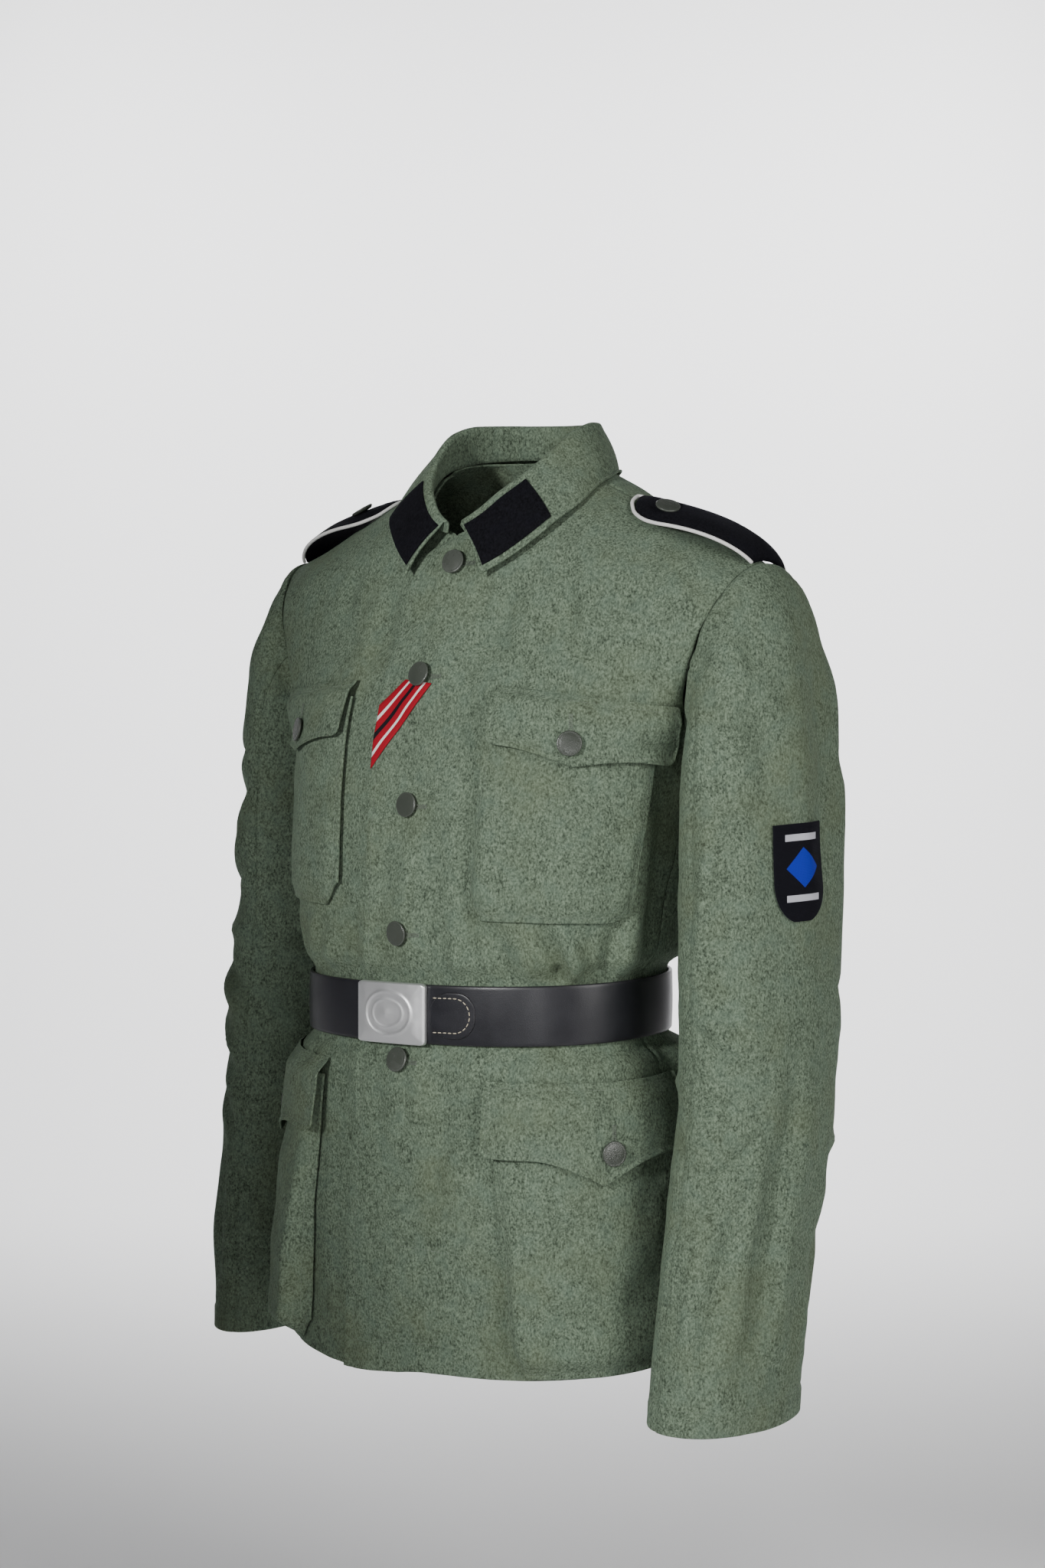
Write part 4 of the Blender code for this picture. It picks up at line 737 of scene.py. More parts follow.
def addSleeve(side):
    name = "Left" if side > 0 else "Right"
    fine = np.linspace(0, sleeveRows, 3000)
    line = lengths(sleeve(0.0, fine, side), 0)
    down = np.interp(edgeSpaced(line[-1], cloth["step"]), line, fine)
    halfGap = math.degrees(cloth["gap"] / 2 / sleeves["radius"])
    spans = {
        "upper": (sleeves["backSeam"] + halfGap, sleeves["frontSeam"] - halfGap),
        "under": (sleeves["frontSeam"] + halfGap, 360 + sleeves["backSeam"] - halfGap),
    }
    made = []
    for part, (start, end) in spans.items():
        length = math.radians(end - start) * sleeves["radius"] * 1.15
        angles = start + (end - start) * edgeSpaced(length, cloth["step"]) / length
        points, normals = sleeveCloth(angles[None, :], down[:, None], side)
        points[0, :, 0] += side * cloth["armholeGap"]
        fromSeam = lengths(points, 1)
        fromSeam = np.minimum(fromSeam, fromSeam[:, -1:] - fromSeam)
        fromHead = lengths(points, 0)
        fromCuff = fromHead[-1:] - fromHead
        # The head is pressed into a low ridge beside the armhole seam.
        raised = ditch(fromSeam) + ditch(fromHead) + 0.0012 * np.exp(-(((fromHead - 0.006) / 0.004) ** 2))
        raised = raised - 0.0008 * np.exp(-(((fromHead - 0.014) / 0.003) ** 2))
        raised = raised + stitchedEdge(fromCuff, sleeves["cuffTurn"], 0.0007)
        roll = rolled(fromCuff) * cloth["wall"]
        outer = points + normals * (raised - roll)[..., None]
        inner = points - normals * (cloth["wall"] - roll)[..., None]
        turn = int(np.abs(fromCuff[:, 0] - sleeves["cuffTurn"]).argmin())
        stitchAlong(outer, normals, [(turn, column) for column in range(outer.shape[1])])
        made.append(shell(f"sleeve{name}{part.capitalize()}", outer, inner, wool))
    return made


# Collar, with a plain tab at each end
collar = {
    # angle round the neck, height of the fold, outer edge x, y, z
    "levels": (
        (8, -0.041, 0.036, -0.104, -0.081),
        (20, -0.033, 0.050, -0.096, -0.072),
        (35, -0.019, 0.066, -0.086, -0.059),
        (50, -0.006, 0.080, -0.074, -0.044),
        (70, 0.013, 0.089, -0.045, -0.025),
        (90, 0.030, 0.086, -0.012, -0.010),
        (110, 0.036, 0.076, 0.015, -0.005),
        (140, 0.037, 0.052, 0.046, -0.004),
        (180, 0.037, 0.0, 0.064, -0.004),
    ),
    "start": 8,
    "wall": 0.0022,
    "turn": (0.35, 0.45),
    "roll": 0.0028,
    "bow": 0.003,
    "clear": 0.0016,
    "fold": (0.060, -0.092, 0.056),
    "edgeStitch": 0.0030,
    "tabShares": (0.465, 0.93),
    "tabAngles": (8.7, 50),
    "tabSlant": 4,
}


def makeBodyTree():  # the body above the underarm, for keeping the collar's leaf off it
    across = np.linspace(-0.15, 0.9, 90)
    up = np.linspace(body["underarmRow"] + 1, 2 * body["topRow"] - body["underarmRow"] - 1, 160)
    points, normals = bodyCloth(across[None, :], up[:, None], 1, creased=False)
    points, normals = points.reshape(-1, 3), normals.reshape(-1, 3)
    tree = KDTree(len(points))
    for number, point in enumerate(points):
        tree.insert(point, number)
    tree.balance()
    return tree, points, normals


bodyTree, bodyPoints, bodyNormals = makeBodyTree()


def clearOfBody(points, clearance):
    near = np.array([bodyTree.find(point)[1] for point in points])
    short = clearance - ((points - bodyPoints[near]) * bodyNormals[near]).sum(axis=-1)
    return points + np.clip(short, 0.0, None)[:, None] * bodyNormals[near]


def collarSurface(angle, share):  # middle of the wall, share 0 at the neck seam and 1 at the outer edge
    angle = np.asarray(angle, float)
    low = neckPoint(angle)
    foldX, foldY = onEllipse(angle, *collar["fold"])
    fold = np.stack((foldX, foldY, curveAt(collar["levels"], angle, 1)), axis=-1)
    edge = np.stack([curveAt(collar["levels"], angle, column) for column in (2, 3, 4)], axis=-1)
    outward = edge - fold
    outward[..., 2] = 0.0
    outward = unit(outward)
    low = low + np.array((0.0, 0.0, collar["wall"] / 2 + cloth["gap"]))
    roll = collar["roll"]
    upward = np.array((0.0, 0.0, roll))
    turnStart, turnEnd = collar["turn"]
    innerTop = fold - outward * roll - upward
    outerTop = fold + outward * roll - upward
    if share <= turnStart:
        return low + (innerTop - low) * share / turnStart
    if share < turnEnd:
        turn = math.pi * (share - turnStart) / (turnEnd - turnStart)
        return fold - upward - outward * roll * math.cos(turn) + upward * math.sin(turn)
    t = (share - turnEnd) / (1 - turnEnd)
    point = outerTop + (edge - outerTop) * t + outward * collar["bow"] * math.sin(math.pi * t)
    return clearOfBody(point, collar["wall"] / 2 + collar["clear"])


def gridNormals(points):
    return unit(np.cross(np.gradient(points, axis=0), np.gradient(points, axis=1)))


def addCollar():
    line = lengths(collarSurface(np.linspace(collar["start"], 180, 200), 0.8), 0)
    place = edgeSpaced(line[-1] * 2, 0.0034)
    place = place[: int(np.searchsorted(place, line[-1]))]
    half = np.append(np.interp(place, line, np.linspace(collar["start"], 180, 200)), 180.0)
    leaf = 1 - edgeSpaced(0.075, 0.0034)[:-5] / 0.075 * 0.55
    shares = np.concatenate((np.linspace(0, 0.35, 9)[:-1], np.linspace(0.35, 0.45, 11)[:-1], leaf[::-1]))
    left = np.stack([collarSurface(half, share) for share in np.clip(shares, 0, 1)])
    right = left[:, -2::-1] * np.array((-1.0, 1.0, 1.0))
    points = np.concatenate((left, right), axis=1)
    normals = gridNormals(points)
    fromEnd = lengths(points, 1)
    fromEnd = np.minimum(fromEnd, fromEnd[:, -1:] - fromEnd)
    fromEdge = lengths(points, 0)
    fromEdge = fromEdge[-1:] - fromEdge
    onLeaf = smoothStep((np.clip(shares, 0, 1)[:, None] - 0.45) / 0.12)
    edge = np.minimum(fromEnd, fromEdge)
    raised = onLeaf * (stitchedEdge(edge, collar["edgeStitch"], 0.0004) + 0.0004 * softNoise(points, 0.020))
    roll = rolled(edge) * collar["wall"]
    outer = points + normals * (collar["wall"] / 2 + raised - roll)[..., None]
    inner = points - normals * (collar["wall"] / 2 - roll)[..., None]
    inset, last = 4, outer.shape[1] - 1
    fold = int(np.abs(shares - 0.46).argmin())
    low = outer.shape[0] - 1 - inset
    route = [(row, inset) for row in range(fold, low)] + [
        (low, column) for column in range(inset, last - inset)
    ]
    route += [(row, last - inset) for row in range(low, fold - 1, -1)]
    stitchAlong(outer, normals, route)
    return shell("collarCloth", outer, inner, wool)


def addCollarTab(side):
    shares = np.interp(edgeSpaced(0.040, 0.0022), (0, 0.040), collar["tabShares"])
    angles = np.interp(edgeSpaced(0.055, 0.0022), (0, 0.055), collar["tabAngles"])
    slant = collar["tabSlant"]
    points = np.stack(
        [collarSurface(angles + slant * (share - collar["tabShares"][0]), share) for share in shares]
    )
    normals = gridNormals(points)
    fromSide, fromTop = lengths(points, 1), lengths(points, 0)
    edge = np.minimum(
        np.minimum(fromSide, fromSide[:, -1:] - fromSide), np.minimum(fromTop, fromTop[-1:] - fromTop)
    )
    low = collar["wall"] / 2 + cloth["gap"]
    roll = rolled(edge) * cloth["thin"]
    crown = 0.0004 * smoothStep(edge / 0.006)
    flip = np.array((side, 1.0, 1.0))
    outer = (points + normals * (low + cloth["thin"] + crown - roll)[..., None]) * flip
    inner = (points + normals * low) * flip
    return shell("collarTabLeft" if side > 0 else "collarTabRight", outer, inner, blackWool)


# A lattice of distance along the cloth and height, on which pockets, flaps, buttons and the ribbon are placed
latticeStep = 0.003
reaches = np.arange(-0.060, 0.300, latticeStep)
heights = np.arange(-0.704, -0.060, latticeStep)


def frontLattice(side):
    across = np.linspace(-0.45, 1.25, 240)
    up = np.linspace(-0.2, body["topRow"] - 2, 520)
    points, _ = bodyCloth(across[None, :], up[:, None], side)
    lines = []
    for line in points:
        length = lengths(line, 0)
        length = length - np.interp(0.0, across, length)
        lines.append(np.stack([np.interp(reaches, length, line[:, i]) for i in range(3)], axis=-1))
    lines = np.stack(lines)
    result = np.empty((len(reaches), len(heights), 3))
    for number in range(len(reaches)):
        column = lines[:, number]
        for axis in range(3):
            result[number, :, axis] = np.interp(heights, column[:, 2], column[:, axis])
        result[number, :, 2] = heights
    normals = np.cross(np.gradient(result, axis=0), np.gradient(result, axis=1)) * side
    normals = unit(normals)
    for _ in range(12):  # what is sewn on stands off along calmer directions than the creases'
        padded = np.pad(normals, ((1, 1), (1, 1), (0, 0)), mode="edge")
        normals = unit(padded[:-2, 1:-1] + padded[2:, 1:-1] + padded[1:-1, :-2] + padded[1:-1, 2:] + normals)
    return result, normals


lattices = {side: frontLattice(side) for side in (1, -1)}


def clothAt(side, reach, height, lift=0.0):
    points, normals = lattices[side]
    u = np.clip((reach - reaches[0]) / latticeStep, 0, len(reaches) - 1.001)
    v = np.clip((height - heights[0]) / latticeStep, 0, len(heights) - 1.001)
    i, j = np.floor(u).astype(int), np.floor(v).astype(int)
    fu, fv = (u - i)[..., None], (v - j)[..., None]

    def read(grid):
        near = grid[i, j] * (1 - fu) + grid[i + 1, j] * fu
        far = grid[i, j + 1] * (1 - fu) + grid[i + 1, j + 1] * fu
        return near * (1 - fv) + far * fv

    normal = unit(read(normals))
    return read(points) + normal * np.asarray(lift)[..., None], normal


# Pockets and flaps: distances along the cloth from the centre, and heights
pockets = {
    "chest": {
        "inner": (0.071, 0.063),
        "outer": (0.204, 0.195),
        "top": (-0.176, -0.186),
        "bottom": (-0.335, -0.336),
        "drop": {1: 0.0, -1: 0.0},
        "standOff": {1: 0.003, -1: 0.003},
        "outerShare": 1.0,
        "size": (0.133, 0.155),
    },
    "skirt": {
        "inner": (0.084, 0.100),
        "outer": (0.240, 0.240),
        "top": (-0.468, -0.468),
        "bottom": (-0.676, -0.672),
        "drop": {1: 0.0, -1: 0.008},
        "standOff": {1: 0.012, -1: 0.026},
        "outerShare": 0.2,
        "size": (0.150, 0.206),
    },
}
flaps = {
    # point: where the tip is along the lower edge, half its width as a share of the flap, how sharp it is
    "chest": {
        "inner": 0.071,
        "outer": 0.213,
        "top": (-0.163, -0.177),
        "side": 0.044,
        "tip": 0.052,
        "point": (0.47, 0.34, 1.5),
        "button": (0.445, 0.70),
        "size": (0.142, 0.048),
    },
    "skirt": {
        "inner": 0.079,
        "outer": 0.245,
        "top": (-0.455, -0.454),
        "side": 0.056,
        "tip": 0.075,
        "point": (0.54, 0.30, 1.6),
        "button": (0.57, 0.72),
        "size": (0.166, 0.065),
    },
}
pocketTurn = 0.09
openingLift = 0.25
openingEnd = 0.95
cornerRise = 0.018
cornerShare = 0.12
flapInset = 0.14
flapCorner = (0.055, 0.007)  # share of the width and height over which a lower corner is round
flapRoot = 0.26


def pocketLift(kind, side, sideShare, downShare):
    pocket = pockets[kind]
    inward = np.minimum(sideShare, 1 - sideShare) / pocketTurn
    upward = (1 - downShare) / pocketTurn
    full = smoothStep(inward) * smoothStep(upward)
    opening = openingLift + (1 - openingLift) * smoothStep(downShare / openingEnd)
    outward = 1 - (1 - pocket["outerShare"]) * sideShare
    return cloth["lie"] + pocket["standOff"][side] * full * opening * outward


def pocketPlace(kind, side, sideShare, downShare):
    pocket = pockets[kind]
    corner = 0.5 - np.abs(sideShare - 0.5)
    inner = pocket["inner"][0] + (pocket["inner"][1] - pocket["inner"][0]) * downShare
    outer = pocket["outer"][0] + (pocket["outer"][1] - pocket["outer"][0]) * downShare
    top = pocket["top"][0] + (pocket["top"][1] - pocket["top"][0]) * sideShare
    bottom = pocket["bottom"][0] + (pocket["bottom"][1] - pocket["bottom"][0]) * sideShare
    rounded = bottom - pocket["drop"][side] + cornerRise * (1 - smoothStep(corner / cornerShare))
    return inner + (outer - inner) * sideShare, top + (rounded - top) * downShare


def addPocket(kind, side):
    width, height = pockets[kind]["size"]
    sideShare = edgeSpaced(width, 0.0030) / width
    downShare = edgeSpaced(height, 0.0030) / height
    across, down = np.meshgrid(sideShare, downShare)
    reach, level = pocketPlace(kind, side, across, down)
    lift = pocketLift(kind, side, across, down)
    low, normals = clothAt(side, reach, level, lift)
    fromSide, fromTop = lengths(low, 1), lengths(low, 0)
    fromSide = np.minimum(fromSide, fromSide[:, -1:] - fromSide)
    edge = np.minimum(fromSide, fromTop[-1:] - fromTop)
    inside = smoothStep((edge - 0.002) / 0.020)
    slack = 0.0011 if kind == "chest" else 0.0020
    loose = slack * (softNoise(low, 0.034) + 0.5 * softNoise(low, 0.016)) * inside
    raised = loose + stitchedEdge(edge, 0.0048, 0.0004)
    raised = np.maximum(raised, -0.0012 * inside)
    roll = rolled(edge) * cloth["thin"]
    outer = low + normals * (cloth["thin"] + raised - roll)[..., None]
    inner = low + normals * np.clip(loose, 0, None)[..., None] * 0.8
    name = "Left" if side > 0 else "Right"
    stitchBorder(outer, normals, 5)
    return shell(f"{kind}Pocket{name}", outer, inner, wool)


def flapPlace(kind, sideShare, downShare):
    flap = flaps[kind]
    reach = flap["inner"] + (flap["outer"] - flap["inner"]) * sideShare
    top = flap["top"][0] + (flap["top"][1] - flap["top"][0]) * sideShare
    middle, width, sharp = flap["point"]
    point = np.clip(1 - np.abs(sideShare - middle) / width, 0, 1) ** sharp
    drop = flap["side"] + (flap["tip"] - flap["side"]) * point
    corner = np.clip(1 - (0.5 - np.abs(sideShare - 0.5)) / flapCorner[0], 0, 1)
    drop = drop - flapCorner[1] * (1 - np.sqrt(1 - corner**2))
    return reach, top - drop * downShare


def flapLift(kind, side, sideShare, downShare):
    pocket = pockets[kind]
    _, height = flapPlace(kind, sideShare, downShare)
    top = pocket["top"][0] + (pocket["top"][1] - pocket["top"][0]) * sideShare
    down = np.clip((top - height) / (top - pocket["bottom"][0]), 0.0, 1.0)
    below = pocketLift(kind, side, np.clip(sideShare, flapInset, 1 - flapInset), down)
    rise = below - cloth["lie"] + cloth["thin"] + cloth["flapClear"]
    return cloth["lie"] + smoothStep(downShare / flapRoot) * rise


def addFlap(kind, side):
    width, height = flaps[kind]["size"]
    sideShare = edgeSpaced(width, 0.0026) / width
    downShare = edgeSpaced(height, 0.0026) / height
    across, down = np.meshgrid(sideShare, downShare)
    reach, level = flapPlace(kind, across, down)
    lift = flapLift(kind, side, across, down)
    low, normals = clothAt(side, reach, level, lift)
    fromSide, fromTop = lengths(low, 1), lengths(low, 0)
    fromSide = np.minimum(fromSide, fromSide[:, -1:] - fromSide)
    edge = np.minimum(fromSide, fromTop[-1:] - fromTop)
    hanging = smoothStep(down / 0.6)
    # The free edge stands away a little, most at its corners, and the button holds the middle down.
    share, lowShare = flaps[kind]["button"]
    held = np.exp(-(((across - share) * width / 0.020) ** 2) - (((down - lowShare) * height / 0.018) ** 2))
    corner = smoothStep(np.abs(2 * across - 1) / 0.9) * smoothStep((down - 0.4) / 0.6)
    curl = 0.0011 * hanging * (1 - held) + 0.0014 * corner
    curl = curl + 0.0007 * softNoise(low, 0.022) * hanging
    raised = stitchedEdge(edge, 0.0048, 0.0005) + ditch(fromTop, 0.0007, 0.0012)
    raised = raised + ditch(fromTop - 0.0048, cloth["stitchDepth"], 0.0009) - 0.0006 * held
    roll = rolled(edge) * cloth["thin"]
    outer = low + normals * (curl + cloth["thin"] + raised - roll)[..., None]
    inner = low + normals * (curl + roll)[..., None]
    name = "Left" if side > 0 else "Right"
    stitchBorder(outer, normals, 5, top=True)
    piece = shell(f"{kind}Flap{name}", outer, inner, wool)
    seatReach, seatLevel = flapPlace(kind, np.array(share), np.array(lowShare))
    seatLift = flapLift(kind, side, np.array(share), np.array(lowShare)) + cloth["thin"] + buttons["seat"]
    seat, normal = clothAt(side, seatReach, seatLevel, seatLift)
    buttonPlaces.append((seat, normal, f"{kind}_button_{name.lower()}"))
    return piece


# Buttons
buttons = {
    "radius": 0.0095,
    "thick": 0.0034,
    "seat": 0.0007,
    # height, distance from the centre, distance from the cloth
    "front": (
        (-0.072, 0.006, 0.0006),
        (-0.157, 0.000, 0.0019),
        (-0.254, 0.002, 0.0006),
        (-0.350, 0.001, 0.0006),
        (-0.447, -0.001, 0.0006),
    ),
    # share of the radius, share of the thickness, from the middle of the face round to the back
    "profile": (
        (0.0, 0.90),
        (0.30, 0.895),
        (0.58, 0.87),
        (0.76, 0.83),
        (0.84, 0.80),
        (0.89, 0.82),
        (0.95, 0.80),
        (0.985, 0.70),
        (1.0, 0.55),
        (0.985, 0.40),
        (0.94, 0.28),
        (0.86, 0.10),
        (0.80, 0.0),
        (0.0, 0.0),
    ),
    "around": 40,
}
buttonPlaces = []


def addButtons():  # one mesh for all, lathed from the profile at each place
    profile = np.array(buttons["profile"]) * (buttons["radius"], buttons["thick"])
    around = buttons["around"]
    vertices, faces = [], []
    for seat, normal, _ in buttonPlaces:
        frameUp = Vector(normal).to_track_quat("Z", "Y").to_matrix()
        base = len(vertices)
        vertices.append(Vector(seat) + frameUp @ Vector((0, 0, profile[0][1])))
        rings = profile[1:-1]
        for radius, level in rings:
            for number in range(around):
                turn = 2 * math.pi * number / around
                place = Vector((radius * math.cos(turn), radius * math.sin(turn), level))
                vertices.append(Vector(seat) + frameUp @ place)
        vertices.append(Vector(seat))
        last = len(vertices) - 1
        for number in range(around):
            after = (number + 1) % around
            faces.append((base, base + 1 + number, base + 1 + after))
            for ring in range(len(rings) - 1):
                low, high = base + 1 + ring * around, base + 1 + (ring + 1) * around
                faces.append((low + number, high + number, high + after, low + after))
            low = base + 1 + (len(rings) - 1) * around
            faces.append((low + number, last, low + after))
    return addMesh("buttons", [tuple(vertex) for vertex in vertices], faces, buttonPaint)


# Shoulder straps, along the shoulder seam from the neck at 0 to the armhole at 1
straps = {
    "width": 0.046,
    "thick": 0.0030,
    "shifts": (-0.013, 0.010),
    "start": 0.385,
    "end": 0.93,
    "lift": 0.011,
    "seat": 0.0009,
    "round": 0.10,
    "roundness": 2.2,
    "tip": 0.002,
    "button": 0.49,
    "buttonSeat": 0.0012,
    "buttonForward": -0.006,
    "seamLength": 0.162,
    "rowReach": 3.2,
    "samples": 121,
    "piping": 0.0014,
}


def strapPoints(side, outline):
    result, directions = [], []
    for share, distances in outline:
        up = np.linspace(
            body["topRow"] - straps["rowReach"], body["topRow"] + straps["rowReach"], straps["samples"]
        )
        points, normals = bodyCloth(np.full_like(up, share), up, side, creased=False)
        length = lengths(points, 0)
        length = length - length[straps["samples"] // 2]
        place = np.array(distances) + np.interp(share, (straps["start"], straps["end"]), straps["shifts"])
        result.append(np.stack([np.interp(place, length, points[:, i]) for i in range(3)], axis=-1))
        directions.append(
            unit(np.stack([np.interp(place, length, normals[:, i]) for i in range(3)], axis=-1))
        )
    return np.stack(result), np.stack(directions)


def strapHalfWidth(share):
    start = np.clip((share - straps["start"]) / straps["round"], 0.0, 1.0)
    return np.maximum(straps["width"] / 2 * np.sqrt(1 - (1 - start) ** straps["roundness"]), straps["tip"])


def strapLift(share):
    middle = (share - straps["start"]) / (straps["end"] - straps["start"])
    return straps["seat"] + straps["lift"] * np.sin(math.pi * np.clip(middle, 0, 1))


def addStrap(side):
    name = "Left" if side > 0 else "Right"
    start, end = straps["start"], straps["end"]
    places = np.concatenate((np.linspace(0, 1, 16) ** 2 * 0.12, np.linspace(0.12, 1.0, 34)[1:]))
    shares = start + (end - start) * places
    crosswise = np.interp(edgeSpaced(0.046, 0.0030), (0, 0.046), (-1, 1))
    points, normals = strapPoints(side, [(share, crosswise * strapHalfWidth(share)) for share in shares])
    lift = strapLift(shares)[:, None]
    edge = np.minimum(*[np.abs(crosswise - sign) for sign in (-1, 1)])[None, :] * strapHalfWidth(shares)[
        :, None
    ]
    roll = rolled(np.minimum(edge, lengths(points, 0))) * straps["thick"]
    crown = 0.0010 * smoothStep(edge / 0.014) + 0.0003 * softNoise(points, 0.018)
    outer = points + normals * (lift + straps["thick"] + crown - roll)[..., None]
    inner = points + normals * (lift + roll * 0.5)[..., None]
    piece = shell(f"shoulderStrap{name}", outer, inner, blackWool)
    # piping
    coarse = start + (end - start) * np.array((0.0, 0.02, 0.06, 0.12, 0.19, 0.34, 0.5, 0.66, 0.82, 1.0))
    half = np.array([strapHalfWidth(share) for share in coarse])
    along = coarse * straps["seamLength"]
    outline = np.concatenate((np.stack((along, -half), axis=-1)[::-1], np.stack((along, half), axis=-1)[1:]))
    outline = np.insert(outline, len(coarse), (along[0], 0.0), axis=0)
    run = unit(np.gradient(outline, axis=0))
    outline = outline + np.stack((-run[:, 1], run[:, 0]), axis=-1) * (straps["piping"] + 3 * cloth["gap"])
    outline = spline(outline, np.linspace(0, len(outline) - 1, 150))
    route = []
    for length, across in outline:
        share = length / straps["seamLength"]
        spot, normal = strapPoints(side, [(share, np.array((across,)))])
        route.append(spot[0, 0] + normal[0, 0] * (strapLift(share) + straps["thick"] / 2))
    cord = addCord(f"strapPiping{name}", np.array(route), straps["piping"], whitePiping)
    seat, normal = strapPoints(side, [(straps["button"], np.array((straps["buttonForward"],)))])
    seat = seat[0, 0] + normal[0, 0] * (strapLift(straps["button"]) + straps["thick"] + straps["buttonSeat"])
    buttonPlaces.append((seat, normal[0, 0], f"strap_button_{name.lower()}"))
    return piece, cord


def addCord(name, route, radius, material):
    around = 10
    run = unit(np.gradient(route, axis=0))
    side = unit(np.cross(run, np.array((0.0, 0.0, 1.0))))
    above = np.cross(side, run)
    turns = np.arange(around) * 2 * math.pi / around
    rings = route[:, None] + radius * (
        np.cos(turns)[None, :, None] * side[:, None] + np.sin(turns)[None, :, None] * above[:, None]
    )
    count = len(route)
    vertices = np.concatenate(
        (rings.reshape(-1, 3), route[:1] - run[:1] * radius * 0.5, route[-1:] + run[-1:] * radius * 0.5)
    )
    faces = []
    for number in range(count - 1):
        for turn in range(around):
            after = (turn + 1) % around
            low, high = number * around, (number + 1) * around
            faces.append((low + turn, low + after, high + after, high + turn))
    for turn in range(around):
        after = (turn + 1) % around
        faces.append((turn, count * around, after))
        faces.append(((count - 1) * around + turn, (count - 1) * around + after, count * around + 1))
    piece = addMesh(name, vertices, faces, material)
    makeOutward(piece)
    return piece


def makeOutward(piece):
    mesh = bmesh.new()
    mesh.from_mesh(piece.data)
    bmesh.ops.recalc_face_normals(mesh, faces=mesh.faces)
    mesh.to_mesh(piece.data)
    mesh.free()
    return piece


# Belt, with its tab and its plate buckle
belt = {
    "lift": 0.0016,
    "thick": 0.0028,
    "around": 240,
    "tab": (0.0225, 0.0605, 0.035, 0.0014),  # start, end, height, thickness
    "tabCorner": 0.016,
    "stitch": (0.0250, 0.0430, 0.0130),  # start of the row, middle of its bend, radius
    "buckle": (-0.033, 0.020, 0.047, 0.0042),
    "corner": 0.0035,
    # radius, width, height
    "rings": ((0.0165, 0.0010, 0.0008), (0.0105, 0.0008, 0.0005), (0.0, 0.0040, 0.0006)),
}


def beltRing(angle, height, lift):
    _, halfWidth, front, back, roundness, middle = body["sections"][6]
    turn = np.radians(angle)
    depth = np.where(np.cos(turn) > 0, middle - front, back - middle)
    x = halfWidth * signedPower(np.sin(turn), 2 / roundness)
    fromMiddle = -depth * signedPower(np.cos(turn), 2 / roundness)
    x, fromMiddle, depth, height = np.broadcast_arrays(x, fromMiddle, depth, height)
    steep = roundness - 1
    outX = signedPower(x / halfWidth, steep) / halfWidth
    outY = signedPower(fromMiddle / depth, steep) / depth
    points = tilted(np.stack((x, middle + fromMiddle, height), axis=-1))
    outward = unit(np.stack((outX, outY, np.zeros_like(outX)), axis=-1))
    return points + outward * np.asarray(lift)[..., None]


def addBelt():
    middle, half, rounding = body["beltMiddle"], body["beltHeight"] / 2, 0.0010
    low, high = belt["lift"], belt["lift"] + belt["thick"]
    outline = []
    for startTurn, cornerHeight, cornerLift in (
        (-90, half - rounding, low + rounding),
        (0, half - rounding, high - rounding),
        (90, -half + rounding, high - rounding),
        (180, -half + rounding, low + rounding),
    ):
        for turn in np.radians(np.linspace(startTurn, startTurn + 90, 4)):
            outline.append((cornerHeight + rounding * math.cos(turn), cornerLift + rounding * math.sin(turn)))
        if startTurn == 0:  # more points across the face, for its slight crown
            outline += [(level, high) for level in np.linspace(half - 0.003, -half + 0.003, 9)]
    outline = np.array(outline)
    angles = np.arange(belt["around"]) * 360 / belt["around"]
    crown = 0.0006 * (1 - (outline[:, 0] / half) ** 2) * (outline[:, 1] > high - 1e-6)
    rings = np.stack(
        [beltRing(angles, middle + h, np.full(angles.shape, l + c)) for (h, l), c in zip(outline, crown)]
    )
    wave = 0.0004 * softNoise(rings, 0.035)
    outward = beltRing(angles, middle, np.ones(angles.shape)) - beltRing(
        angles, middle, np.zeros(angles.shape)
    )
    rings = rings + wave[..., None] * outward[None]
    count, around = len(outline), belt["around"]
    faces = []
    for ring in range(count):
        for number in range(around):
            after, following = (number + 1) % around, (ring + 1) % count
            faces.append(
                (
                    ring * around + number,
                    ring * around + after,
                    following * around + after,
                    following * around + number
                )
            )
    return makeOutward(addMesh("beltLeather", rings.reshape(-1, 3), faces, leather))


def beltPlate(name, sizes, lift, material, corner, crown, step=0.0016, rings=()):
    start, end, height, thick = sizes
    along = edgeSpaced(end - start, step)
    level = edgeSpaced(height, step) - height / 2
    x, z = np.meshgrid(along, level)
    # Corners are rounded by drawing points in towards a rounded outline.
    half = height / 2
    fromEnd = np.minimum(x, (end - start) - x)
    inset = corner - np.sqrt(np.clip(corner**2 - np.clip(corner - fromEnd, 0, corner) ** 2, 0, None))
    z = z * (1 - inset / half)
    degrees = np.degrees((start + x) / body["radius"])
    edge = np.minimum(fromEnd, np.clip(half - inset - np.abs(z), 0, None))
    bulge = crown * smoothStep(edge / 0.010)
    fromMiddle = np.hypot(x - (end - start) / 2, z)
    for radius, width, high in rings:
        bulge = bulge + high * np.exp(-(((fromMiddle - radius) / width) ** 2))
    roll = rolled(edge * 0.7) * thick
    outer = beltRing(degrees, body["beltMiddle"] + z, lift + thick + bulge - roll)
    inner = beltRing(degrees, body["beltMiddle"] + z, np.full(x.shape, lift))
    return shell(name, outer, inner, material)


# Ribbon and sleeve badge ground
ribbon = {
    # distance from the centre and height of both ends of each long edge
    "upper": ((-0.015, -0.161), (-0.0380, -0.181)),
    "lower": ((0.012, -0.163), (-0.0375, -0.229)),
    "thick": 0.0008,
}
patch = {
    "middle": 12,
    "half": 19,
    "top": -0.260,
    "height": 0.072,
    "foot": 0.6,
    "footLength": 0.42,
    "lie": 0.0015,
    "thick": 0.0012
}


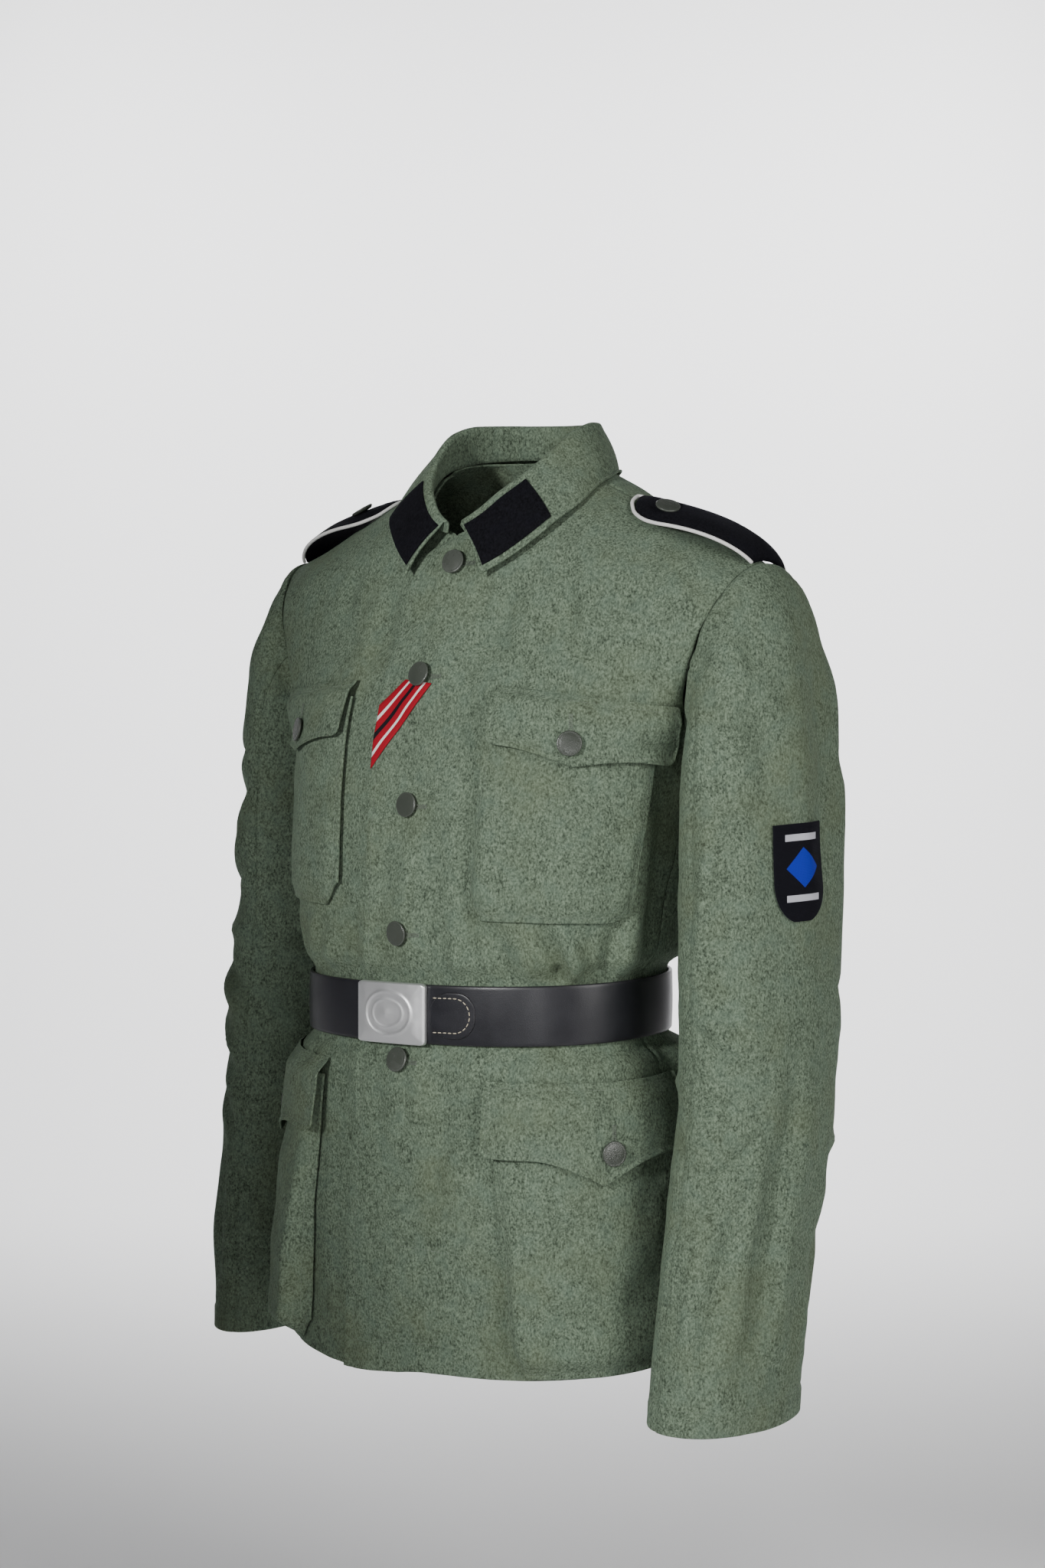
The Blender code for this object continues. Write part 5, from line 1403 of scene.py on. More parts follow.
def setUv(piece, across, down):  # the same pair of numbers on both faces of a shell
    layer = piece.data.uv_layers.new(name="layout")
    pairs = np.stack((across.reshape(-1), down.reshape(-1)), axis=-1)
    pairs = np.concatenate((pairs, pairs))
    loops = np.zeros(len(piece.data.loops), int)
    piece.data.loops.foreach_get("vertex_index", loops)
    layer.data.foreach_set("uv", pairs[loops].reshape(-1))


def addRibbon():
    along, across = np.meshgrid(np.linspace(0, 1, 36), np.linspace(0, 1, 20))
    (upperStart, upperEnd), (lowerStart, lowerEnd) = (np.array(ribbon[key]) for key in ("upper", "lower"))
    near = upperStart + (upperEnd - upperStart) * along[..., None]
    far = lowerStart + (lowerEnd - lowerStart) * along[..., None]
    reach, level = np.moveaxis(near + (far - near) * across[..., None], -1, 0)
    low, normals = clothAt(1, reach, level, np.full(reach.shape, cloth["gap"] + 0.0005))
    bulge = 0.0004 * softNoise(low, 0.012)
    piece = shell("ribbonWeave", low + normals * (ribbon["thick"] + bulge)[..., None], low, ribbonCloth)
    setUv(piece, along, across)
    return piece


def addSleevePatch():
    downLevels = edgeSpaced(patch["height"], 0.0018) / patch["height"]
    sideLevels = edgeSpaced(0.048, 0.0018) / 0.024 - 1
    outerHeights = [-row[3] for row in sleeves["sections"]]
    rows = np.interp(-(patch["top"] - patch["height"] * downLevels), outerHeights, range(sleeveRows + 1))
    foot = np.clip((downLevels - patch["foot"]) / patch["footLength"], 0, 1)
    narrow = np.sqrt(np.clip(1 - foot**2, 0.02, 1))
    angles = patch["middle"] + sideLevels[None, :] * patch["half"] * narrow[:, None]
    points, normals = sleeveCloth(angles, rows[:, None], 1)
    edge = np.minimum(lengths(points, 1), lengths(points, 1)[:, ::-1])
    low = points + normals * patch["lie"]
    roll = rolled(np.minimum(edge, lengths(points, 0))) * patch["thick"]
    piece = shell("sleevePatch", low + normals * (patch["thick"] - roll)[..., None], low, badgeCloth)
    across = sideLevels[None, :] * narrow[:, None] * 0.5 + 0.5
    setUv(piece, across, np.broadcast_to(downLevels[:, None], across.shape))
    return piece


# Stitches and buttonholes, by Geometry Nodes: one thread on each point of a piece's stitch lines
threads = {
    "length": 0.0030, "width": 0.00055, "seamLength": 0.0024, "seamWidth": 0.00042, "seamSpacing": 0.0030
}


def threadTree():
    tree = bpy.data.node_groups.new("threadRows", "GeometryNodeTree")
    tree.interface.new_socket("Geometry", in_out="INPUT", socket_type="NodeSocketGeometry")
    for label, kind in (("Stitch Length", "Float"), ("Thread Width", "Float"), ("Thread", "Material")):
        tree.interface.new_socket(label, in_out="INPUT", socket_type=f"NodeSocket{kind}")
    tree.interface.new_socket("Geometry", in_out="OUTPUT", socket_type="NodeSocketGeometry")
    given = tree.nodes.new("NodeGroupInput")
    result = tree.nodes.new("NodeGroupOutput")
    along = tree.nodes.new("GeometryNodeInputNamedAttribute")
    along.data_type = "FLOAT_VECTOR"
    along.inputs["Name"].default_value = "along"
    facing = tree.nodes.new("GeometryNodeInputNamedAttribute")
    facing.data_type = "FLOAT_VECTOR"
    facing.inputs["Name"].default_value = "facing"
    first = tree.nodes.new("FunctionNodeAlignRotationToVector")
    first.axis = "X"
    second = tree.nodes.new("FunctionNodeAlignRotationToVector")
    second.axis = "Z"
    second.pivot_axis = "X"
    ball = tree.nodes.new("GeometryNodeMeshUVSphere")
    ball.inputs["Segments"].default_value = 5
    ball.inputs["Rings"].default_value = 4
    ball.inputs["Radius"].default_value = 0.5
    size = tree.nodes.new("ShaderNodeCombineXYZ")
    turn = tree.nodes.new("GeometryNodeTransform")
    turn.inputs["Rotation"].default_value = (0, math.pi / 2, 0)
    place = tree.nodes.new("GeometryNodeInstanceOnPoints")
    real = tree.nodes.new("GeometryNodeRealizeInstances")
    paint = tree.nodes.new("GeometryNodeSetMaterial")
    link = tree.links.new
    link(along.outputs["Attribute"], first.inputs["Vector"])
    link(first.outputs["Rotation"], second.inputs["Rotation"])
    link(facing.outputs["Attribute"], second.inputs["Vector"])
    link(given.outputs["Stitch Length"], size.inputs["X"])
    link(given.outputs["Thread Width"], size.inputs["Y"])
    link(given.outputs["Thread Width"], size.inputs["Z"])
    link(ball.outputs["Mesh"], turn.inputs["Geometry"])
    link(given.outputs["Geometry"], place.inputs["Points"])
    link(turn.outputs["Geometry"], place.inputs["Instance"])
    link(second.outputs["Rotation"], place.inputs["Rotation"])
    link(size.outputs["Vector"], place.inputs["Scale"])
    link(place.outputs["Instances"], real.inputs["Geometry"])
    link(real.outputs["Geometry"], paint.inputs["Geometry"])
    link(given.outputs["Thread"], paint.inputs["Material"])
    link(paint.outputs["Geometry"], result.inputs["Geometry"])
    return tree


def addThreads(name, centres, alongs, facings, material, length=None, width=None):
    mesh = bpy.data.meshes.new(name)
    mesh.from_pydata(np.asarray(centres).tolist(), [], [])
    for label, values in (("along", alongs), ("facing", facings)):
        layer = mesh.attributes.new(label, "FLOAT_VECTOR", "POINT")
        layer.data.foreach_set("vector", np.asarray(values, np.float32).reshape(-1))
    maker = bpy.data.objects.new(name + "Points", mesh)
    pieces.objects.link(maker)
    modifier = maker.modifiers.new("threads", "NODES")
    modifier.node_group = threadRows
    sockets = {
        item.name: item.identifier for item in threadRows.interface.items_tree if item.in_out == "INPUT"
    }
    modifier[sockets["Stitch Length"]] = length or threads["length"]
    modifier[sockets["Thread Width"]] = width or threads["width"]
    modifier[sockets["Thread"]] = material
    bpy.context.view_layer.update()
    made = bpy.data.meshes.new_from_object(maker.evaluated_get(bpy.context.evaluated_depsgraph_get()))
    bpy.data.objects.remove(maker)
    made.name = name
    made.shade_smooth()
    for label in ("along", "facing"):
        if label in made.attributes:
            made.attributes.remove(made.attributes[label])
    piece = bpy.data.objects.new(name, made)
    pieces.objects.link(piece)
    return piece


# centres, directions and facings along a line of points
def threadLine(points, normals, spacing, lift=0.0002):
    length = lengths(points, 0)
    count = max(2, int(length[-1] / spacing))
    at = (np.arange(count) + 0.5) * length[-1] / count
    centres = np.stack([np.interp(at, length, points[:, i]) for i in range(3)], axis=-1)
    facing = unit(np.stack([np.interp(at, length, normals[:, i]) for i in range(3)], axis=-1))
    ahead = np.stack([np.interp(at + 0.0005, length, points[:, i]) for i in range(3)], axis=-1)
    behind = np.stack([np.interp(at - 0.0005, length, points[:, i]) for i in range(3)], axis=-1)
    return centres + facing * lift, unit(ahead - behind), facing


def addMachineStitches():
    rows = [threadLine(points, normals, threads["seamSpacing"], 0.0) for points, normals in stitchLines]
    centres, alongs, facings = (np.concatenate([row[number] for row in rows]) for number in range(3))
    return addThreads(
        "machineStitches", centres, alongs, facings, woolThread, threads["seamLength"], threads["seamWidth"]
    )


def addBeltStitches():
    start, middle, radius = belt["stitch"]
    turn = np.radians(np.linspace(-90, 90, 60))
    x = np.concatenate(((start,), middle + radius * np.cos(turn), (start,)))
    z = np.concatenate(((-radius,), radius * np.sin(turn), (radius,)))
    degrees = np.degrees(x / body["radius"])
    lift = belt["lift"] + belt["thick"] + cloth["gap"] + belt["tab"][3] + 0.0004
    points = beltRing(degrees, body["beltMiddle"] + z, np.full(x.shape, lift))
    outward = points - beltRing(degrees, body["beltMiddle"] + z, np.full(x.shape, lift - 0.01))
    centres, alongs, facings = threadLine(points, unit(outward), 0.0042, 0.0001)
    return addThreads("beltStitches", centres, alongs, facings, creamThread, 0.0034, 0.0009)


def addButtonholes():
    centres, alongs, facings = [], [], []

    def hole(side, reach, level, angle, length, lift):
        c, s = math.cos(math.radians(angle)), math.sin(math.radians(angle))
        run = np.linspace(0, 1, int(length / 0.0008))
        for sign in (-1, 1):
            gape = 0.0008 + 0.0008 * smoothStep((0.3 - run) / 0.3)
            u = run * length
            v = sign * gape
            spot, normal = clothAt(
                side, reach + u * c - v * s, level + u * s + v * c, np.full(run.shape, lift)
            )
            target, _ = clothAt(
                side, reach + u * c - 2 * v * s, level + u * s + 2 * v * c, np.full(run.shape, lift)
            )
            centres.append(spot)
            alongs.append(unit(target - spot))
            facings.append(normal)

    for level, reach, _ in buttons["front"]:
        hole(1, reach + 0.0080, level - 0.001, 4, 0.0105, 0.0003)
    for kind in flaps:
        for side in (1, -1):
            share, down = flaps[kind]["button"]
            lift = float(flapLift(kind, side, np.array(share), np.array(down))) + cloth["thin"] + 0.0005
            reach, level = flapPlace(kind, np.array(share), np.array(down))
            hole(side, float(reach), float(level) + 0.0085, 90, 0.0120, lift)
    return addThreads(
        "buttonholes",
        np.concatenate(centres),
        np.concatenate(alongs),
        np.concatenate(facings),
        greyThread,
        0.0019,
        0.00045,
    )


# Materials
def addNode(tree, kind, inputs=None, **settings):
    node = tree.nodes.new(kind)
    for key, value in settings.items():
        setattr(node, key, value)
    for key, value in (inputs or {}).items():
        socket = node.inputs[key]
        if isinstance(value, bpy.types.NodeSocket):
            tree.links.new(value, socket)
        else:
            socket.default_value = value
    return node


def newGroup(name, inputs, outputs):
    tree = bpy.data.node_groups.new(name, "ShaderNodeTree")
    for label, kind, value in inputs:
        socket = tree.interface.new_socket(label, in_out="INPUT", socket_type=f"NodeSocket{kind}")
        socket.default_value = value
    for label, kind in outputs:
        tree.interface.new_socket(label, in_out="OUTPUT", socket_type=f"NodeSocket{kind}")
    return tree, tree.nodes.new("NodeGroupInput"), tree.nodes.new("NodeGroupOutput")


def mix(tree, factor, first, second, mode="MIX"):
    node = tree.nodes.new("ShaderNodeMix")
    node.data_type = "RGBA"
    node.blend_type = mode
    for socket, value in ((node.inputs[0], factor), (node.inputs[6], first), (node.inputs[7], second)):
        if isinstance(value, bpy.types.NodeSocket):
            tree.links.new(value, socket)
        else:
            socket.default_value = value
    return node.outputs[2]


def mathNode(tree, operation, first, second=0.0, clamp=False):
    node = tree.nodes.new("ShaderNodeMath")
    node.operation = operation
    node.use_clamp = clamp
    for socket, value in ((node.inputs[0], first), (node.inputs[1], second)):
        if isinstance(value, bpy.types.NodeSocket):
            tree.links.new(value, socket)
        else:
            socket.default_value = value
    return node.outputs[0]


def ramp(tree, value, low, high):
    node = addNode(
        tree, "ShaderNodeMapRange", {"Value": value, "From Min": low, "From Max": high}, clamp=True
    )
    return node.outputs["Result"]


def noise(tree, vector, scale, detail=2.0, rough=0.5):
    node = addNode(
        tree, "ShaderNodeTexNoise", {"Vector": vector, "Scale": scale, "Detail": detail, "Roughness": rough}
    )
    return node.outputs["Fac"]


def makeMelange():  # fulled wool of mixed fibres: flecks, soft blotches and a height for the nap
    tree, given, result = newGroup(
        "woolMelange",
        (
            ("Dark Fibre", "Color", (0.05, 0.07, 0.05, 1)),
            ("Light Fibre", "Color", (0.20, 0.24, 0.18, 1)),
            ("Warm Tint", "Color", (0.16, 0.17, 0.10, 1)),
            ("Cool Tint", "Color", (0.12, 0.15, 0.14, 1)),
            ("Tint Strength", "Float", 0.3),
            ("Contrast", "Float", 1.0),
            ("Fleck Scale", "Float", 420.0),
        ),
        (("Colour", "Color"), ("Height", "Float")),
    )
    where = addNode(tree, "ShaderNodeTexCoord").outputs["Object"]
    wander = addNode(tree, "ShaderNodeTexNoise", {"Vector": where, "Scale": 60.0, "Detail": 1.0}).outputs[
        "Color"
    ]
    stretch = addNode(tree, "ShaderNodeMapping", {"Vector": where, "Scale": (1.0, 1.0, 0.72)}).outputs[
        "Vector"
    ]
    bent = addNode(tree, "ShaderNodeVectorMath", {0: wander, 1: (0.004, 0.004, 0.004)}, operation="MULTIPLY")
    place = addNode(tree, "ShaderNodeVectorMath", {0: stretch, 1: bent.outputs[0]}, operation="ADD").outputs[
        0
    ]
    fleck = noise(tree, place, given.outputs["Fleck Scale"], 3.0, 0.62)
    half = mathNode(tree, "MULTIPLY", given.outputs["Fleck Scale"], 0.42)
    broad = noise(tree, place, half, 2.0, 0.55)
    fibre = noise(tree, place, mathNode(tree, "MULTIPLY", given.outputs["Fleck Scale"], 3.1), 2.0, 0.6)
    blotch = noise(tree, where, 62.0, 2.0, 0.5)
    large = noise(tree, where, 13.0, 2.0, 0.5)
    amount = mathNode(
        tree, "ADD", mathNode(tree, "MULTIPLY", fleck, 0.70), mathNode(tree, "MULTIPLY", broad, 0.20)
    )
    amount = mathNode(tree, "ADD", amount, mathNode(tree, "MULTIPLY", blotch, 0.10))
    spread = mathNode(tree, "MULTIPLY", mathNode(tree, "SUBTRACT", amount, 0.5), given.outputs["Contrast"])
    spread = mathNode(tree, "ADD", mathNode(tree, "MULTIPLY", spread, 3.4), 0.5, True)
    base = mix(tree, spread, given.outputs["Dark Fibre"], given.outputs["Light Fibre"])
    warm = mathNode(tree, "MULTIPLY", ramp(tree, large, 0.50, 0.68), given.outputs["Tint Strength"])
    cool = mathNode(tree, "MULTIPLY", ramp(tree, blotch, 0.50, 0.70), given.outputs["Tint Strength"])
    base = mix(tree, warm, base, given.outputs["Warm Tint"])
    base = mix(tree, cool, base, given.outputs["Cool Tint"])
    hairs = ramp(tree, fibre, 0.62, 0.80)
    base = mix(tree, mathNode(tree, "MULTIPLY", hairs, 0.40), base, given.outputs["Light Fibre"])
    height = mathNode(
        tree, "ADD", mathNode(tree, "MULTIPLY", fleck, 0.6), mathNode(tree, "MULTIPLY", fibre, 0.4)
    )
    tree.links.new(base, result.inputs["Colour"])
    tree.links.new(height, result.inputs["Height"])
    return tree


def makeWeave():  # a fine crossed weave that follows the piece's own layout
    tree, given, result = newGroup(
        "ribWeave",
        (("Threads Across", "Float", 40.0), ("Threads Down", "Float", 40.0)),
        (("Height", "Float"),),
    )
    layout = addNode(tree, "ShaderNodeUVMap", uv_map="layout").outputs["UV"]
    parts = addNode(tree, "ShaderNodeSeparateXYZ", {"Vector": layout})
    waves = []
    for axis, label in (("X", "Threads Across"), ("Y", "Threads Down")):
        turn = mathNode(
            tree, "MULTIPLY", mathNode(tree, "MULTIPLY", parts.outputs[axis], given.outputs[label]), 6.2832
        )
        waves.append(mathNode(tree, "SINE", turn))
    height = mathNode(tree, "MULTIPLY", mathNode(tree, "MAXIMUM", waves[0], waves[1]), 0.5)
    tree.links.new(height, result.inputs["Height"])
    return tree


def makeGrain():  # leather or paint: pores, soft dents and where the surface is rubbed
    tree, given, result = newGroup(
        "surfaceGrain",
        (("Pore Scale", "Float", 900.0), ("Wear Amount", "Float", 0.3)),
        (("Height", "Float"), ("Wear", "Float"), ("Smudge", "Float")),
    )
    where = addNode(tree, "ShaderNodeTexCoord").outputs["Object"]
    pore = addNode(tree, "ShaderNodeTexVoronoi", {"Vector": where, "Scale": given.outputs["Pore Scale"]})
    pores = mathNode(tree, "MULTIPLY", pore.outputs["Distance"], 0.7)
    soft = noise(tree, where, 160.0, 3.0, 0.5)
    smudge = noise(tree, where, 45.0, 3.0, 0.6)
    scratch = noise(tree, where, 520.0, 3.0, 0.7)
    edge = ramp(tree, addNode(tree, "ShaderNodeNewGeometry").outputs["Pointiness"], 0.51, 0.58)
    worn = mathNode(tree, "MULTIPLY", edge, ramp(tree, scratch, 0.35, 0.6))
    worn = mathNode(tree, "MULTIPLY", worn, given.outputs["Wear Amount"], True)
    height = mathNode(tree, "ADD", pores, mathNode(tree, "MULTIPLY", soft, 0.6))
    tree.links.new(height, result.inputs["Height"])
    tree.links.new(worn, result.inputs["Wear"])
    tree.links.new(smudge, result.inputs["Smudge"])
    return tree


def startMaterial(name, rough, metallic=0.0, sheen=0.0, sheenTint=None, shine=0.5):
    material = bpy.data.materials.new(name)
    material.use_nodes = True
    tree = material.node_tree
    shader = tree.nodes["Principled BSDF"]
    shader.inputs["Roughness"].default_value = rough
    shader.inputs["Metallic"].default_value = metallic
    shader.inputs["Sheen Weight"].default_value = sheen
    shader.inputs["Specular IOR Level"].default_value = shine
    if sheenTint:
        shader.inputs["Sheen Tint"].default_value = sheenTint
        shader.inputs["Sheen Roughness"].default_value = 0.45
    return material, tree, shader


def useGroup(tree, group, values):
    node = tree.nodes.new("ShaderNodeGroup")
    node.node_tree = group
    for key, value in values.items():
        node.inputs[key].default_value = value
    return node


def bump(tree, shader, height, strength, distance):
    node = addNode(tree, "ShaderNodeBump", {"Height": height, "Strength": strength, "Distance": distance})
    tree.links.new(node.outputs["Normal"], shader.inputs["Normal"])


woolLook = {
    "dark": (0.030, 0.042, 0.028, 1),
    "light": (0.190, 0.250, 0.176, 1),
    "warm": (0.110, 0.128, 0.068, 1),
    "cool": (0.075, 0.115, 0.090, 1),
    "contrast": 1.05,
    "fleck": 700.0,
    "nap": 0.0005,
}


def makeWool():
    material, tree, shader = startMaterial("fieldGreyWool", 0.95, 0.0, 0.12, (0.50, 0.68, 0.48, 1), 0.25)
    values = {
        "Dark Fibre": woolLook["dark"],
        "Light Fibre": woolLook["light"],
        "Warm Tint": woolLook["warm"],
        "Cool Tint": woolLook["cool"],
        "Contrast": woolLook["contrast"],
        "Fleck Scale": woolLook["fleck"],
    }
    woolGroup = useGroup(tree, melange, values)
    tree.links.new(woolGroup.outputs["Colour"], shader.inputs["Base Color"])
    bump(tree, shader, woolGroup.outputs["Height"], 0.8, woolLook["nap"])
    return material


def makeBlackWool():
    material, tree, shader = startMaterial("blackWool", 0.95, 0.0, 0.03, (0.5, 0.5, 0.7, 1), 0.12)
    values = {
        "Dark Fibre": (0.0012, 0.0012, 0.0020, 1),
        "Light Fibre": (0.0080, 0.0080, 0.0110, 1),
        "Warm Tint": (0.005, 0.005, 0.006, 1),
        "Cool Tint": (0.004, 0.004, 0.008, 1),
        "Fleck Scale": 650.0,
    }
    woolGroup = useGroup(tree, melange, values)
    tree.links.new(woolGroup.outputs["Colour"], shader.inputs["Base Color"])
    bump(tree, shader, woolGroup.outputs["Height"], 0.7, 0.0004)
    return material


def makeThread(name, colour):
    material, tree, shader = startMaterial(name, 0.8, 0.0, 0.3, (0.9, 0.9, 0.9, 1))
    where = addNode(tree, "ShaderNodeTexCoord").outputs["Object"]
    twist = noise(tree, where, 2200.0, 1.0)
    darker = tuple(value * 0.6 for value in colour[:3]) + (1,)
    tree.links.new(mix(tree, twist, darker, colour), shader.inputs["Base Color"])
    bump(tree, shader, twist, 0.5, 0.0002)
    return material


def makePaint():
    material, tree, shader = startMaterial("greyGreenPaint", 0.55)
    grainGroup = useGroup(tree, grain, {"Pore Scale": 1500.0, "Wear Amount": 0.25})
    base = mix(tree, grainGroup.outputs["Smudge"], (0.040, 0.046, 0.038, 1), (0.066, 0.074, 0.062, 1))
    worn = mix(tree, grainGroup.outputs["Wear"], base, (0.16, 0.17, 0.15, 1))
    tree.links.new(worn, shader.inputs["Base Color"])
    tree.links.new(ramp(tree, grainGroup.outputs["Smudge"], 0.2, 1.6), shader.inputs["Roughness"])
    bump(tree, shader, grainGroup.outputs["Height"], 0.35, 0.00025)
    return material


def makeLeather():
    material, tree, shader = startMaterial("blackLeather", 0.38)
    grainGroup = useGroup(tree, grain, {"Pore Scale": 1300.0, "Wear Amount": 0.5})
    base = mix(tree, grainGroup.outputs["Smudge"], (0.009, 0.009, 0.012, 1), (0.017, 0.017, 0.022, 1))
    tree.links.new(
        mix(tree, grainGroup.outputs["Wear"], base, (0.05, 0.045, 0.04, 1)), shader.inputs["Base Color"]
    )
    rough = addNode(
        tree, "ShaderNodeMapRange", {"Value": grainGroup.outputs["Smudge"], "To Min": 0.28, "To Max": 0.44}
    )
    tree.links.new(rough.outputs["Result"], shader.inputs["Roughness"])
    bump(tree, shader, grainGroup.outputs["Height"], 0.18, 0.0003)
    return material


def makeSilver():
    material, tree, shader = startMaterial("dullAluminium", 0.34, 0.85)
    grainGroup = useGroup(tree, grain, {"Pore Scale": 700.0, "Wear Amount": 0.6})
    base = mix(tree, grainGroup.outputs["Smudge"], (0.78, 0.79, 0.80, 1), (0.92, 0.92, 0.92, 1))
    tree.links.new(
        mix(tree, grainGroup.outputs["Wear"], base, (0.75, 0.75, 0.76, 1)), shader.inputs["Base Color"]
    )
    rough = addNode(
        tree, "ShaderNodeMapRange", {"Value": grainGroup.outputs["Smudge"], "To Min": 0.30, "To Max": 0.48}
    )
    tree.links.new(rough.outputs["Result"], shader.inputs["Roughness"])
    bump(tree, shader, grainGroup.outputs["Height"], 0.12, 0.0002)
    return material


def bands(tree, value, colours):  # colours in steps along a value from 0 to 1
    node = tree.nodes.new("ShaderNodeValToRGB")
    node.color_ramp.interpolation = "CONSTANT"
    elements = node.color_ramp.elements
    while len(elements) < len(colours):
        elements.new(0.5)
    for element, (place, colour) in zip(elements, colours):
        element.position = place
        element.color = colour
    tree.links.new(value, node.inputs["Fac"])
    return node.outputs["Color"]


def makeRibbon():
    material, tree, shader = startMaterial("redRibbon", 0.7, 0.0, 0.05, (1.0, 0.6, 0.6, 1), 0.2)
    layout = addNode(tree, "ShaderNodeUVMap", uv_map="layout").outputs["UV"]
    across = addNode(tree, "ShaderNodeSeparateXYZ", {"Vector": layout}).outputs["Y"]
    red, pale, dark = (0.30, 0.002, 0.012, 1), (0.70, 0.70, 0.68, 1), (0.003, 0.003, 0.006, 1)
    steps = ((0.0, red), (0.18, pale), (0.26, red), (0.44, dark), (0.56, red), (0.74, pale), (0.82, red))
    tree.links.new(bands(tree, across, steps), shader.inputs["Base Color"])
    rib = useGroup(tree, weave, {"Threads Across": 70.0, "Threads Down": 24.0})
    bump(tree, shader, rib.outputs["Height"], 0.5, 0.0002)
    return material


def makeBadge():
    material, tree, shader = startMaterial("badgeCloth", 0.9, 0.0, 0.04, (0.7, 0.7, 0.9, 1), 0.15)
    layout = addNode(tree, "ShaderNodeUVMap", uv_map="layout").outputs["UV"]
    parts = addNode(tree, "ShaderNodeSeparateXYZ", {"Vector": layout})
    x = mathNode(tree, "ABSOLUTE", mathNode(tree, "SUBTRACT", parts.outputs["X"], 0.5))
    y = parts.outputs["Y"]
    black, blue, pale = (0.004, 0.004, 0.007, 1), (0.010, 0.025, 0.36, 1), (0.50, 0.50, 0.55, 1)
    lozenge = mathNode(
        tree,
        "ADD",
        mathNode(tree, "MULTIPLY", x, 2.9),
        mathNode(tree, "MULTIPLY", mathNode(tree, "ABSOLUTE", mathNode(tree, "SUBTRACT", y, 0.45)), 4.2)
    )
    inLozenge = mathNode(tree, "LESS_THAN", lozenge, 0.86)
    inBars = mathNode(tree, "LESS_THAN", x, 0.30)
    upper = mathNode(
        tree, "LESS_THAN", mathNode(tree, "ABSOLUTE", mathNode(tree, "SUBTRACT", y, 0.14)), 0.035
    )
    lower = mathNode(
        tree, "LESS_THAN", mathNode(tree, "ABSOLUTE", mathNode(tree, "SUBTRACT", y, 0.76)), 0.035
    )
    bars = mathNode(tree, "MULTIPLY", inBars, mathNode(tree, "ADD", upper, lower))
    colour = mix(tree, inLozenge, black, blue)
    colour = mix(tree, bars, colour, pale)
    tree.links.new(colour, shader.inputs["Base Color"])
    rib = useGroup(tree, weave, {"Threads Across": 60.0, "Threads Down": 90.0})
    raised = mathNode(
        tree,
        "ADD",
        rib.outputs["Height"],
        mathNode(tree, "MULTIPLY", mathNode(tree, "ADD", inLozenge, bars), 2.0)
    )
    bump(tree, shader, raised, 0.6, 0.0002)
    return material


print("materials")
melange, weave, grain = makeMelange(), makeWeave(), makeGrain()
wool, blackWool = makeWool(), makeBlackWool()
buttonPaint, leather, silver = makePaint(), makeLeather(), makeSilver()
ribbonCloth, badgeCloth = makeRibbon(), makeBadge()
whitePiping = makeThread("whitePiping", (0.92, 0.91, 0.88, 1))
creamThread = makeThread("creamThread", (0.68, 0.60, 0.44, 1))
greyThread = makeThread("greyThread", (0.17, 0.20, 0.16, 1))
woolThread = makeThread("woolThread", (0.150, 0.190, 0.140, 1))
threadRows = threadTree()

# Each piece, and the CAD nodes that it stands for, which are hidden
made = {}


def stands(piece, nodes):
    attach(piece, "root")
    if nodes:
        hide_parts(*nodes)
    made[piece.name] = piece
    return piece


print("body")
stands(addFront(1), ["front_left"])
stands(addFront(-1), ["front_right"])
stands(addBack(), ["back"])
print("sleeves")
for side in (1, -1):
    name = "left" if side > 0 else "right"
    upper, under = addSleeve(side)
    stands(upper, [f"sleeve_{name}_upper"])
    stands(under, [f"sleeve_{name}_under"])
print("collar")
stands(addCollar(), ["collar"])
for side in (1, -1):
    name = "left" if side > 0 else "right"
    stands(addCollarTab(side), [f"collar_tab_{name}"])
print("pockets")
for side in (1, -1):
    name = "left" if side > 0 else "right"
    for kind in pockets:
        stands(addPocket(kind, side), [f"{kind}_pocket_{name}"])
        stands(addFlap(kind, side), [f"{kind}_flap_{name}"])
print("straps")
for side in (1, -1):
    name = "left" if side > 0 else "right"
    strap, cord = addStrap(side)
    stands(strap, [f"shoulder_strap_{name}"])
    stands(cord, [f"strap_piping_{name}"])
print("belt")
plateLift = belt["lift"] + belt["thick"] + cloth["gap"]
stands(addBelt(), ["belt"])
stands(
    beltPlate("beltTab", belt["tab"], plateLift, leather, belt["tabCorner"], 0.0002),
    ["belt_tab"],
)
stands(
    beltPlate(
        "bucklePlate",
        belt["buckle"],
        plateLift + cloth["gap"],
        silver,
        belt["corner"],
        0.0012,
        0.0008,
        belt["rings"]
    ),
    ["buckle"],
)
print("trims")
stands(addRibbon(), ["ribbon"])
stands(addSleevePatch(), ["sleeve_patch"])
for number, (level, reach, lift) in enumerate(buttons["front"], 1):
    seat, normal = clothAt(1, np.array(reach), np.array(level), lift + 0.0004)
    buttonPlaces.append((seat, normal, f"front_button_{number}"))
stands(addButtons(), [place[2] for place in buttonPlaces])
stands(addBeltStitches(), [])
stands(addButtonholes(), [])
inside = np.linspace(0.004, 0.072, 30)  # the row that holds the facing, on the left front
stitchLines.append(clothAt(1, inside, np.full(30, -0.588), np.full(30, 0.0001)))
stands(addMachineStitches(), [])

# Floor, backdrop, light and camera
stage = {
    "floor": -1.02,
    "wall": 3.0,
    "bend": 1.2,
    "paint": (0.86, 0.86, 0.87, 1),
    "world": (0.80, 0.82, 0.85, 1),
    "worldStrength": 0.06,
}


